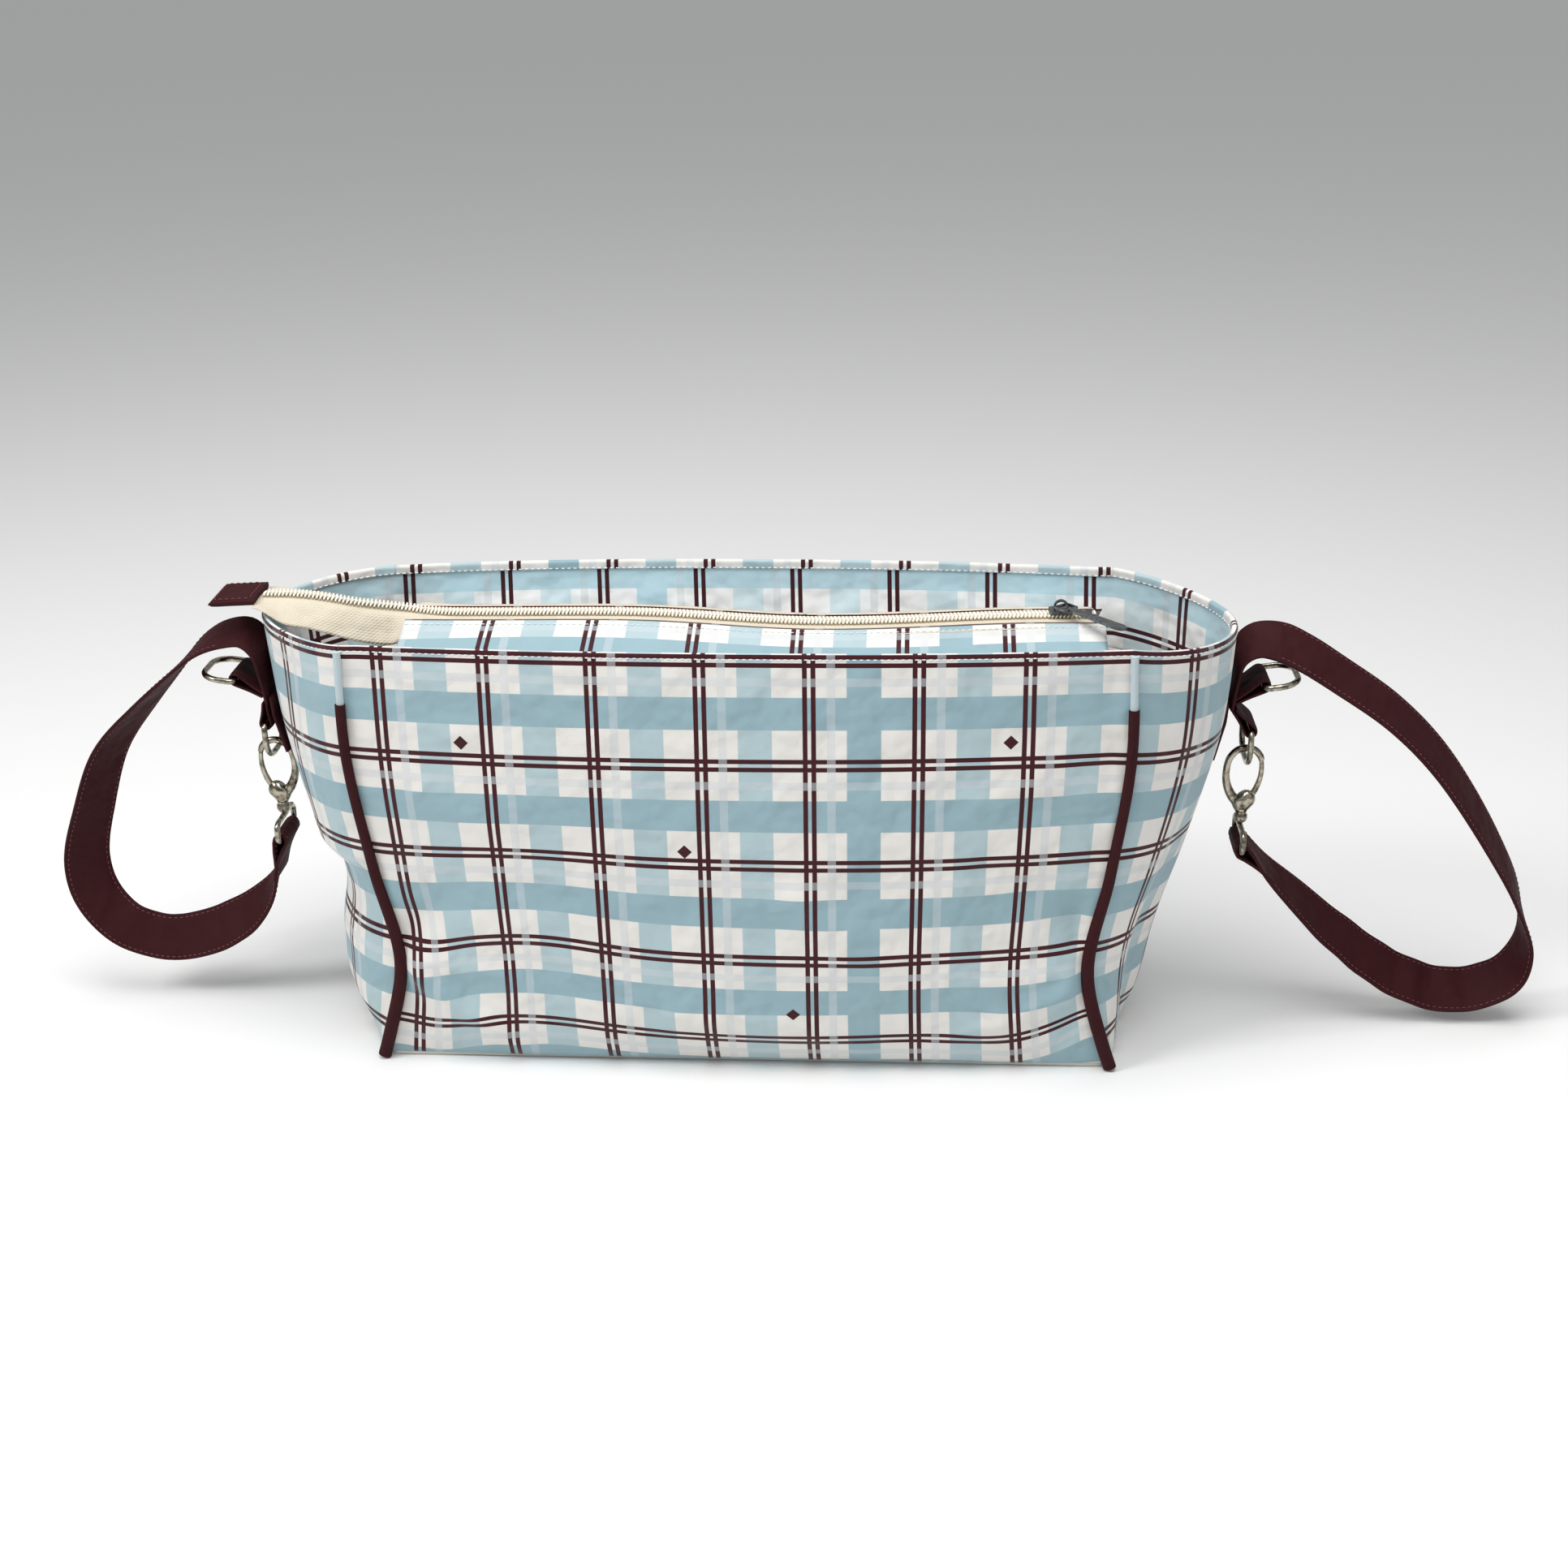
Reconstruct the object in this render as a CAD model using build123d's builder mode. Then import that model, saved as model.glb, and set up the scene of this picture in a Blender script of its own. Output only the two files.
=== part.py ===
"""Plaid pram organiser bag with a recessed zip and two clip-on strap loops.

Millimetres.  +X is to the right, +Y to the back, +Z up.  The origin is the centre of the
flat underside.  Every separate piece of the bag is written to parts/ as its own STEP file.
"""

import os
from math import cos, radians, sin, sqrt

from build123d import *

os.makedirs("parts", exist_ok=True)

# ---- driving dimensions -------------------------------------------------------------------

HEIGHT = 226.0  # floor to rim
CLOTH = 1.6  # thickness of a wall: outer cloth with its interlining
SEAM_GAP = 0.15  # daylight between two pieces that are sewn together

# The bag's body, given at six heights and taken as straight between them.
KEY_Z = (0.0, 16.0, 52.0, 110.0, 170.0, HEIGHT)
SEAM_X = (186.0, 181.0, 172.0, 181.0, 188.0, 187.0)  # half width between the corner seams
SEAM_Y = (59.0, 59.3, 60.0, 61.0, 61.5, 62.0)  # half depth at the corner seams
TIP_X = (194.0, 199.0, 207.0, 223.0, 237.0, 241.0)  # how far out the side walls reach
FRONT_BULGE = (1.0, 8.0, 13.0, 14.0, 10.0, 7.0)  # the front wall's middle past its seams
BACK_BULGE = (1.0, 7.0, 12.0, 14.0, 12.0, 11.0)

BASE_CLOTH = 1.6
BOARD_THICK = 2.4
BOARD_Z = BASE_CLOTH + 0.2
LINING_THICK = 0.8
LINING_INSET = CLOTH + 0.6
LINING_Z = BOARD_Z + BOARD_THICK + 0.2
FACING_DEPTH = 45.0  # plaid strip inside the rim
FACING_THICK = 1.0

PIPING_R = 2.1
PIPING_TOP = 198.0
STRIP_TOP = HEIGHT - 1.0

ZIP_Y = 6.0  # the coils' middle
TAPE_Z = 218.0
TAPE_THICK = 0.6
TAPE_HALF = 16.0
ZIP_RIGHT = 173.0
ZIP_LEFT = -243.0
TAPE_BEND = -196.0  # left of this the tape climbs over the rim
TAPE_CREST = -232.0
TAPE_CLIMB = 9.4
COIL_WIDE = 2.5
COIL_HIGH = 2.2
COIL_SPLIT = 0.5  # half the space between the two coils

PLACKET_THICK = 1.0
PLACKET_LEFT = -168.0
PLACKET_RIGHT = 177.0
PLACKET_LAP = 11.0  # a placket's free edge, out from the coils' middle

SLIDER_X = 157.0
SLIDER_LONG = 12.0
SLIDER_WIDE = 9.6
PLATE = 1.1
PULLER_LONG = 44.0
PULLER_YAW = -50.0

STRAP_WIDE = 25.0
STRAP_THICK = 2.0
WIRE = 1.5  # radius of the ring wire
RING_HALF = 15.0  # half width of a ring, to the wire's middle
SLEEVE_OUT = 4.0
SLEEVE_IN = 2.0

ANCHOR_Z = (150.0, 177.0)  # where the strap is sewn to the side wall
SEAM_OUT = 242.0  # the loop turns about the seam at this distance out
SEAM_Z = 178.5
UPPER_BAR = (256.0, 189.0)
UPPER_RING_RISE = 8.0  # degrees above level
UPPER_RING_REACH = 17.0
LOWER_BAR_Z = 165.0
LOWER_RING_DROP = 18.5
HOOK_TOP_Z = 151.2
HOOK_HALF = 8.2
HOOK_WIRE = 1.8
RIVET_Z = 124.0
RIVET_R = 0.9
COLLAR_R = 3.4
BASE_TOP_Z = 109.5
BASE_BAR_Z = 99.5

# Routes of the two loops: distance out from the bag's middle, height, and the roll of the
# webbing in degrees, where 0 has its width along Y and more turns the back edge outward.
RIGHT_ROUTE = (
    (241.6, 180.0, 0),
    (248.5, 191.5, 4),
    (256.5, 201.5, 10),
    (266.0, 205.5, 19),
    (278.0, 201.5, 28),
    (294.0, 191.0, 32),
    (323.0, 170.0, 31),
    (350.0, 143.0, 29),
    (379.0, 98.0, 22),
    (395.0, 68.0, 12),
    (401.0, 42.0, -8),
    (391.0, 23.0, -30),
    (365.0, 15.5, -42),
    (335.0, 25.0, -42),
    (306.0, 47.0, -34),
    (284.0, 68.0, -22),
    (266.0, 85.5, -8),
    (253.4, 97.1, 0),
)
LEFT_ROUTE = (
    (241.6, 180.0, 0),
    (248.5, 191.5, 3),
    (256.0, 202.5, 6),
    (265.0, 207.5, 8),
    (277.0, 202.5, 4),
    (291.0, 189.0, -6),
    (310.0, 169.0, -18),
    (332.0, 143.0, -30),
    (345.0, 111.0, -38),
    (353.0, 80.0, -48),
    (350.0, 60.0, -58),
    (337.0, 43.0, -66),
    (316.0, 35.5, -68),
    (296.0, 38.0, -62),
    (272.0, 49.0, -44),
    (257.0, 63.0, -24),
    (249.5, 78.0, -8),
    (244.3, 96.4, 0),
)
# side name, its sign along X, its loop's route, and the clasp's distance out
SIDES = (
    ("right", 1, RIGHT_ROUTE, 251.0),
    ("left", -1, LEFT_ROUTE, 243.0),
)


# ---- the body's outline at any height -----------------------------------------------------


def between(values, z):
    """The value at height z of something given at KEY_Z."""
    for low in range(len(KEY_Z) - 1):
        if z <= KEY_Z[low + 1]:
            part = (z - KEY_Z[low]) / (KEY_Z[low + 1] - KEY_Z[low])
            return values[low] + part * (values[low + 1] - values[low])
    return values[-1]


def side_circle(z):
    """Centre (along X) and radius of the side wall's plan arc at height z."""
    x, y, tip = between(SEAM_X, z), between(SEAM_Y, z), between(TIP_X, z)
    radius = (y * y + (tip - x) ** 2) / (2 * (tip - x))
    return tip - radius, radius


def heights(bottom, top, steps=8):
    """Evenly spaced section heights from bottom to top."""
    return [bottom + (top - bottom) * n / steps for n in range(steps + 1)]


def body_outline(z, inset):
    """Draws the closed plan outline at height z, inset from the outer faces."""
    centre, radius = side_circle(z)
    y = between(SEAM_Y, z) - inset
    x = centre + sqrt((radius - inset) ** 2 - y * y)
    tip = between(TIP_X, z) - inset
    front = y + between(FRONT_BULGE, z)
    back = y + between(BACK_BULGE, z)
    ThreePointArc((-x, -y), (0, -front), (x, -y))
    ThreePointArc((x, -y), (tip, 0), (x, y))
    ThreePointArc((x, y), (0, back), (-x, y))
    ThreePointArc((-x, y), (-tip, 0), (-x, -y))


def body_filling(bottom, top, inset, mode=Mode.ADD):
    """Lofts the body's outline, inset, from one height to another."""
    sections = []
    for z in heights(bottom, top):
        with BuildSketch(Plane.XY.offset(z)) as section:
            with BuildLine():
                body_outline(z, inset)
            make_face()
        sections.append(section.sketch)
    loft(sections, ruled=True, mode=mode)


def keep(builder, name):
    """Labels a finished piece and writes it under its name."""
    builder.part.label = name
    export_step(builder.part, f"parts/{name}.step")


# ---- walls --------------------------------------------------------------------------------


def long_wall(name, facing, bulge):
    """The front (facing -1) or back (facing +1) wall between the corner seams."""
    with BuildPart() as wall:
        for z in heights(0, HEIGHT):
            x = between(SEAM_X, z) - CLOTH - SEAM_GAP
            outer = facing * between(SEAM_Y, z)
            middle = outer + facing * between(bulge, z)
            inner = outer - facing * CLOTH
            inner_middle = middle - facing * CLOTH
            with BuildSketch(Plane.XY.offset(z)):
                with BuildLine():
                    ThreePointArc((-x, outer), (0, middle), (x, outer))
                    Line((x, outer), (x, inner))
                    ThreePointArc((x, inner), (0, inner_middle), (-x, inner))
                    Line((-x, inner), (-x, outer))
                make_face()
        loft(ruled=True)
    keep(wall, name)


def side_wall(name, sign):
    """A side wall (gusset), which bows out to the strap."""
    with BuildPart() as wall:
        for z in heights(0, HEIGHT):
            centre, radius = side_circle(z)
            x, y, tip = between(SEAM_X, z), between(SEAM_Y, z), between(TIP_X, z)
            share = (radius - CLOTH) / radius
            inner_x, inner_y = centre + share * (x - centre), share * y
            with BuildSketch(Plane.XY.offset(z)):
                with BuildLine():
                    ThreePointArc((sign * x, -y), (sign * tip, 0), (sign * x, y))
                    Line((sign * x, y), (sign * inner_x, inner_y))
                    ThreePointArc(
                        (sign * inner_x, inner_y),
                        (sign * (tip - CLOTH), 0),
                        (sign * inner_x, -inner_y),
                    )
                    Line((sign * inner_x, -inner_y), (sign * x, -y))
                make_face()
        loft(ruled=True)
    keep(wall, name)


long_wall("front_panel", -1, FRONT_BULGE)
long_wall("back_panel", 1, BACK_BULGE)
for side, sign, _, _ in SIDES:
    side_wall(f"{side}_gusset", sign)


def seam_cord(name, sign, facing, bottom, top, radius):
    """A round cord or bound strip that stands on a corner seam."""
    with BuildPart() as cord:
        for z in heights(bottom, top):
            x = between(SEAM_X, z) - 0.4
            y = between(SEAM_Y, z) + radius + 0.35
            with BuildSketch(Plane.XY.offset(z)):
                with Locations((sign * x, facing * y)):
                    Circle(radius)
        loft(ruled=True)
    keep(cord, name)


for side, sign, _, _ in SIDES:
    for end, facing in (("front", -1), ("back", 1)):
        seam_cord(f"{side}_{end}_piping", sign, facing, 1.0, PIPING_TOP, PIPING_R)
        seam_cord(f"{side}_{end}_seam_cover", sign, facing, PIPING_TOP + 0.2, STRIP_TOP, 1.5)

# ---- base and what is inside --------------------------------------------------------------

base_x = SEAM_X[0] - CLOTH - 0.7
base_y = SEAM_Y[0] - CLOTH - 0.3

with BuildPart() as base_panel:
    with BuildSketch():
        RectangleRounded(2 * base_x, 2 * base_y, 4)
    extrude(amount=BASE_CLOTH)
keep(base_panel, "base_panel")

with BuildPart() as base_board:
    with BuildSketch(Plane.XY.offset(BOARD_Z)):
        RectangleRounded(2 * base_x - 8, 2 * base_y - 8, 8)
    extrude(amount=BOARD_THICK)
keep(base_board, "base_board")

facing_bottom = HEIGHT - FACING_DEPTH
with BuildPart() as lining:
    body_filling(LINING_Z, facing_bottom - 0.3, LINING_INSET)
    body_filling(
        LINING_Z + LINING_THICK,
        facing_bottom + 1,
        LINING_INSET + LINING_THICK,
        Mode.SUBTRACT,
    )
keep(lining, "lining")

with BuildPart() as rim_facing:
    body_filling(facing_bottom, HEIGHT, LINING_INSET - 0.3)
    body_filling(
        facing_bottom - 1, HEIGHT + 1, LINING_INSET - 0.3 + FACING_THICK, Mode.SUBTRACT
    )
keep(rim_facing, "rim_facing")

# ---- the recessed zip ---------------------------------------------------------------------


def placket(name, facing, edge_y, wall_y, wall_z):
    """A plaid strip from a wall's facing in to the zip tape, which it laps over."""
    top = TAPE_Z + TAPE_THICK + 0.6
    bend_y = edge_y + facing * 26
    with BuildPart() as strip:
        with BuildSketch(Plane.YZ.offset(PLACKET_LEFT)):
            with BuildLine():
                Polyline(
                    (edge_y, top),
                    (bend_y, top - 1.5),
                    (wall_y, wall_z),
                    (wall_y, wall_z + PLACKET_THICK),
                    (bend_y, top - 1.5 + PLACKET_THICK),
                    (edge_y, top + PLACKET_THICK),
                    close=True,
                )
            make_face()
        extrude(amount=PLACKET_RIGHT - PLACKET_LEFT)
        body_filling(150, HEIGHT, LINING_INSET + FACING_THICK, Mode.INTERSECT)
    keep(strip, name)


placket("front_placket", -1, ZIP_Y - PLACKET_LAP, -72, 203)
placket("back_placket", 1, ZIP_Y + PLACKET_LAP, 78, 200)


def zip_line(low, high):
    """The zip's long section, from low to high above the tape's underside."""
    crest = TAPE_Z + TAPE_CLIMB
    Polyline(
        (ZIP_RIGHT, TAPE_Z + low),
        (TAPE_BEND, TAPE_Z + low),
        (TAPE_CREST, crest + low),
        (ZIP_LEFT, crest + low),
        (ZIP_LEFT, crest + high),
        (TAPE_CREST, crest + high),
        (TAPE_BEND, TAPE_Z + high),
        (ZIP_RIGHT, TAPE_Z + high),
        close=True,
    )


for end, facing in (("front", -1), ("back", 1)):
    inner = ZIP_Y + facing * COIL_SPLIT
    with BuildPart() as tape:
        with BuildSketch(Plane.XZ.offset(-inner)):
            with BuildLine():
                zip_line(0, TAPE_THICK)
            make_face()
        extrude(amount=-facing * (TAPE_HALF - COIL_SPLIT))
    keep(tape, f"{end}_zip_tape")

    with BuildPart() as coil:
        with BuildSketch(Plane.XZ.offset(-inner)):
            with BuildLine():
                zip_line(TAPE_THICK, TAPE_THICK + COIL_HIGH)
            make_face()
        extrude(amount=-facing * COIL_WIDE)
    keep(coil, f"{end}_zip_coil")

# The tab's slot is as high as the coils, which run into it with the tape.
tab_low = TAPE_Z + TAPE_CLIMB - 0.8
tab_high = TAPE_Z + TAPE_CLIMB + TAPE_THICK + COIL_HIGH + 0.9
tab_end = ZIP_LEFT - 23
tab_start = ZIP_LEFT + 4
tab_mid_z = (tab_low + tab_high) / 2
with BuildPart() as zip_end_tab:
    with Locations(((tab_start + tab_end) / 2, ZIP_Y, tab_mid_z)):
        Box(tab_start - tab_end, 2 * TAPE_HALF - 1, tab_high - tab_low)
    with Locations((tab_start, ZIP_Y, tab_mid_z)):
        Box(9, 2 * TAPE_HALF + 2, tab_high - tab_low - 1.4, mode=Mode.SUBTRACT)
keep(zip_end_tab, "zip_end_tab")

coil_top = TAPE_Z + TAPE_THICK + COIL_HIGH
with BuildPart() as zip_stops:
    for facing in (-1, 1):
        with Locations((ZIP_RIGHT - 2.5, ZIP_Y + facing * (COIL_SPLIT + 1.25), coil_top + 0.5)):
            Box(3.2, 2.2, 0.8)
keep(zip_stops, "zip_stops")

# The slider: two plates joined by a thin web between the coils, with a bridge on top.
plate_low = TAPE_Z - 0.45 - PLATE
plate_high = coil_top + 0.35
bridge_base = plate_high + PLATE
BRIDGE_RISE = 5.0
BRIDGE_OUT = 3.4
BRIDGE_IN = 2.4
with BuildPart() as zip_slider:
    with Locations((SLIDER_X, ZIP_Y, plate_low + PLATE / 2)):
        Box(SLIDER_LONG, SLIDER_WIDE, PLATE)
    with Locations((SLIDER_X, ZIP_Y, plate_high + PLATE / 2)):
        Box(SLIDER_LONG, SLIDER_WIDE, PLATE)
    fillet(zip_slider.edges().filter_by(Axis.Z), 2.2)
    with Locations((SLIDER_X, ZIP_Y, (plate_low + plate_high + PLATE) / 2)):
        Box(5, 0.6, plate_high - plate_low)
    with BuildSketch(Plane.XZ.offset(-ZIP_Y)):
        with BuildLine():
            ThreePointArc(
                (SLIDER_X - BRIDGE_OUT, bridge_base),
                (SLIDER_X, bridge_base + BRIDGE_RISE),
                (SLIDER_X + BRIDGE_OUT, bridge_base),
            )
            Line((SLIDER_X + BRIDGE_OUT, bridge_base), (SLIDER_X + BRIDGE_IN, bridge_base))
            ThreePointArc(
                (SLIDER_X + BRIDGE_IN, bridge_base),
                (SLIDER_X, bridge_base + BRIDGE_RISE - 1),
                (SLIDER_X - BRIDGE_IN, bridge_base),
            )
            Line((SLIDER_X - BRIDGE_IN, bridge_base), (SLIDER_X - BRIDGE_OUT, bridge_base))
        make_face()
    extrude(amount=0.8, both=True)
keep(zip_slider, "zip_slider")

# The puller hangs on a rod through the bridge and lies level, turned towards the front.
puller_pivot = Vector(SLIDER_X, ZIP_Y, bridge_base + 1.9)
puller_out = Vector(cos(radians(PULLER_YAW)), sin(radians(PULLER_YAW)), 0)
puller_plane = Plane(origin=puller_pivot, x_dir=puller_out, z_dir=(0, 0, 1))
PULLER_THICK = 1.2
EYE_ROD = 0.6  # half width of the rod in the bridge
EYE_HALF = 3.4  # half width of the eye's opening
EYE_FAR = 8.0
with BuildPart() as zip_puller:
    with BuildSketch(puller_plane.offset(-PULLER_THICK / 2)):
        with Locations(((EYE_FAR - EYE_ROD) / 2, 0)):
            RectangleRounded(EYE_FAR + EYE_ROD, 2 * EYE_HALF + 2.2, 1.4)
        with Locations(((EYE_FAR - 0.8) / 2, 0)):
            RectangleRounded(EYE_FAR - 0.8 - 2 * EYE_ROD, 2 * EYE_HALF, 0.6, mode=Mode.SUBTRACT)
    extrude(amount=PULLER_THICK)
    with BuildSketch(Plane(origin=puller_pivot, z_dir=puller_plane.y_dir)):
        Circle(EYE_ROD + 0.1)
    extrude(amount=EYE_HALF + 0.4, both=True)
    with BuildSketch(puller_plane.offset(-PULLER_THICK / 2)):
        with BuildLine():
            Polyline(
                (EYE_FAR - 0.4, -2.2),
                (PULLER_LONG - 3, -3.1),
                (PULLER_LONG, -1.6),
                (PULLER_LONG, 1.6),
                (PULLER_LONG - 3, 3.1),
                (EYE_FAR - 0.4, 2.2),
                close=True,
            )
        make_face()
    extrude(amount=PULLER_THICK)
keep(zip_puller, "zip_puller")

# ---- strap loops --------------------------------------------------------------------------


def webbing_plane(points, n, sign):
    """The plane square to the webbing at point n of its route."""
    before, after = points[max(n - 1, 0)], points[min(n + 1, len(points) - 1)]
    x, z, roll = points[n]
    along = Vector(sign * (after[0] - before[0]), 0, after[1] - before[1]).normalized()
    outward = Vector(sign * -along.Z, 0, sign * along.X)
    across = Vector(0, 1, 0) * cos(radians(roll)) + outward * sin(radians(roll))
    return Plane(origin=(sign * x, 0, z), x_dir=across, z_dir=along)


def sleeve(x, z, half_wide=STRAP_WIDE / 2):
    """The folded end of a strap: a tube along Y that a ring's bar turns in."""
    with BuildSketch(Plane.XZ) as profile:
        with Locations((x, z)):
            Circle(SLEEVE_OUT)
            Circle(SLEEVE_IN, mode=Mode.SUBTRACT)
    extrude(profile.sketch, amount=half_wide, both=True)


def flat_link(start, end, thick, trim):
    """A flat strip along Y's width from a seam to a sleeve, ended short of the bore."""
    start, end = Vector(start[0], 0, start[1]), Vector(end[0], 0, end[1])
    along = (end - start).normalized()
    length = (end - start).length - trim
    with BuildSketch(Plane(origin=start, x_dir=(0, 1, 0), z_dir=along)) as profile:
        Rectangle(STRAP_WIDE, thick)
    extrude(profile.sketch, amount=length)


def ring(bar, reach_dir, reach, corner):
    """A D-ring: a straight bar along Y and a bow that reaches out from it."""
    plane = Plane(origin=bar, x_dir=(0, 1, 0), z_dir=Vector(0, 1, 0).cross(Vector(*reach_dir)))
    with BuildLine(plane) as path:
        FilletPolyline(
            (RING_HALF, 0),
            (RING_HALF, reach),
            (-RING_HALF, reach),
            (-RING_HALF, 0),
            radius=[3, corner, corner, 3],
            close=True,
        )
    with BuildSketch(Plane(origin=path.line @ 0, z_dir=path.line % 0)) as wire:
        Circle(WIRE)
    sweep(wire.sketch, path=path.line)


for side, sign, route, clasp_x in SIDES:
    # sewn patch that holds the strap and both tabs on the side wall
    with BuildPart() as strap_anchor:
        for z in (ANCHOR_Z[0], 170.0, ANCHOR_Z[1]):
            x = sign * (between(TIP_X, z) + 1.25)
            with BuildSketch(Plane.XY.offset(z)):
                with Locations((x, 0)):
                    Rectangle(1.8, STRAP_WIDE)
        loft(ruled=True)
    keep(strap_anchor, f"{side}_strap_anchor")

    with BuildPart() as strap:
        for n in range(len(route)):
            with BuildSketch(webbing_plane(route, n, sign)):
                Rectangle(STRAP_WIDE, STRAP_THICK)
        loft()
        sleeve(sign * clasp_x, BASE_BAR_Z)
        with Locations((sign * clasp_x, 0, BASE_BAR_Z)):
            Cylinder(
                SLEEVE_IN, STRAP_WIDE + 2, rotation=(90, 0, 0), mode=Mode.SUBTRACT
            )
    keep(strap, f"{side}_strap")

    upper_bar = Vector(sign * UPPER_BAR[0], 0, UPPER_BAR[1])
    with BuildPart() as upper_tab:
        flat_link(
            (sign * (SEAM_OUT + 2.2), SEAM_Z + 0.1), (upper_bar.X, upper_bar.Z), 1.6, SLEEVE_IN + 1
        )
        sleeve(upper_bar.X, upper_bar.Z)
    keep(upper_tab, f"{side}_upper_ring_tab")

    rise = radians(UPPER_RING_RISE)
    with BuildPart() as upper_ring:
        ring(upper_bar, (sign * cos(rise), 0, sin(rise)), UPPER_RING_REACH, 10)
    keep(upper_ring, f"{side}_upper_ring")

    lower_bar = Vector(sign * clasp_x, 0, LOWER_BAR_Z)
    with BuildPart() as lower_tab:
        flat_link(
            (sign * (SEAM_OUT + 2.2), SEAM_Z - 1.5), (lower_bar.X, lower_bar.Z), 1.6, SLEEVE_IN + 1
        )
        sleeve(lower_bar.X, lower_bar.Z)
    keep(lower_tab, f"{side}_lower_ring_tab")

    with BuildPart() as lower_ring:
        ring(lower_bar, (0, 0, -1), LOWER_RING_DROP, 11)
    keep(lower_ring, f"{side}_lower_ring")

    # clasp: base ring and post, hook with its collar and cheeks, sprung gate, rivet
    with BuildPart() as swivel_ring:
        ring(
            Vector(sign * clasp_x, 0, BASE_BAR_Z), (0, 0, 1), BASE_TOP_Z - BASE_BAR_Z, 4
        )
        with Locations((sign * clasp_x, 0, BASE_TOP_Z)):
            Cylinder(1.5, 8.6, align=(Align.CENTER, Align.CENTER, Align.MIN))
        with Locations((sign * clasp_x, 0, BASE_TOP_Z + 7.4)):
            Cylinder(2.4, 1.2, align=(Align.CENTER, Align.CENTER, Align.MIN))
    keep(swivel_ring, f"{side}_swivel_ring")

    gate_x = sign * (clasp_x + 3.2)
    hook_end = Vector(sign * (clasp_x + HOOK_HALF), 0, HOOK_TOP_Z - 5.8)
    with BuildPart() as hook:
        with Locations((sign * clasp_x, 0, BASE_TOP_Z + 2.0)):
            Cylinder(COLLAR_R, 8.4, align=(Align.CENTER, Align.CENTER, Align.MIN))
            Cylinder(
                1.8, 8.4, align=(Align.CENTER, Align.CENTER, Align.MIN), mode=Mode.SUBTRACT
            )
        with Locations((sign * clasp_x, 0, BASE_TOP_Z + 7.0)):
            Cylinder(
                2.7, 3.4, align=(Align.CENTER, Align.CENTER, Align.MIN), mode=Mode.SUBTRACT
            )
        with Locations((sign * clasp_x, 0, BASE_TOP_Z + 12.6)):
            Box(11.0, 6.0, 4.4)
        # cheeks on both sides of the gate's eye
        for facing in (-1, 1):
            with Locations((gate_x, facing * 2.25, RIVET_Z + 1.4)):
                Box(4.6, 1.5, 5.4)
        with Locations((gate_x, 0, RIVET_Z)):
            Cylinder(RIVET_R + 0.1, 8, rotation=(90, 0, 0), mode=Mode.SUBTRACT)
        with Locations((gate_x + sign * 0.6, 0, RIVET_Z + 1.2)):
            Box(7.2, 3.0, 7.6, mode=Mode.SUBTRACT)
        with BuildLine(Plane.XZ) as hook_path:
            start = (sign * (clasp_x - 3.4), RIVET_Z - 0.6)
            FilletPolyline(
                start,
                (sign * (clasp_x - HOOK_HALF - 0.4), RIVET_Z + 7.5),
                (sign * (clasp_x - HOOK_HALF), HOOK_TOP_Z),
                (sign * (clasp_x + HOOK_HALF), HOOK_TOP_Z),
                (hook_end.X, hook_end.Z),
                radius=[5, 7.4, 5.2],
            )
        with BuildSketch(Plane(origin=hook_path.line @ 0, z_dir=hook_path.line % 0)):
            Circle(HOOK_WIRE)
        sweep(path=hook_path.line)
    keep(hook, f"{side}_hook")

    gate_top = Vector(hook_end.X, 0, hook_end.Z - 0.5)
    with BuildPart() as gate:
        with Locations((gate_x, 0, RIVET_Z)):
            Cylinder(2.2, 2.4, rotation=(90, 0, 0))
        foot = Vector(gate_x + sign * 1.2, 0, RIVET_Z + 1.6)
        along = (gate_top - foot).normalized()
        with BuildSketch(Plane(origin=foot, x_dir=(0, 1, 0), z_dir=along)):
            RectangleRounded(2.4, 2.2, 0.6)
        extrude(amount=(gate_top - foot).length)
        with Locations((gate_x, 0, RIVET_Z)):
            Cylinder(RIVET_R + 0.1, 4, rotation=(90, 0, 0), mode=Mode.SUBTRACT)
    keep(gate, f"{side}_gate")

    with BuildPart() as gate_rivet:
        with Locations((gate_x, 0, RIVET_Z)):
            Cylinder(RIVET_R, 6.4, rotation=(90, 0, 0))
        for facing in (-1, 1):
            with Locations((gate_x, facing * 3.4, RIVET_Z)):
                Cylinder(1.6, 0.6, rotation=(90, 0, 0))
    keep(gate_rivet, f"{side}_gate_rivet")
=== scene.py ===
"""Looks of the plaid pram organiser bag: cloth shell, recessed zip, straps and clasps.

Everything is in metres in the CAD's own frame: +X right, +Y back, +Z up, with the origin at
the centre of the flat underside.
"""

import logging
import math
from dataclasses import dataclass, field
from enum import Enum
from typing import Any

import bpy
import numpy as np
from mathutils import Matrix, Vector

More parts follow.
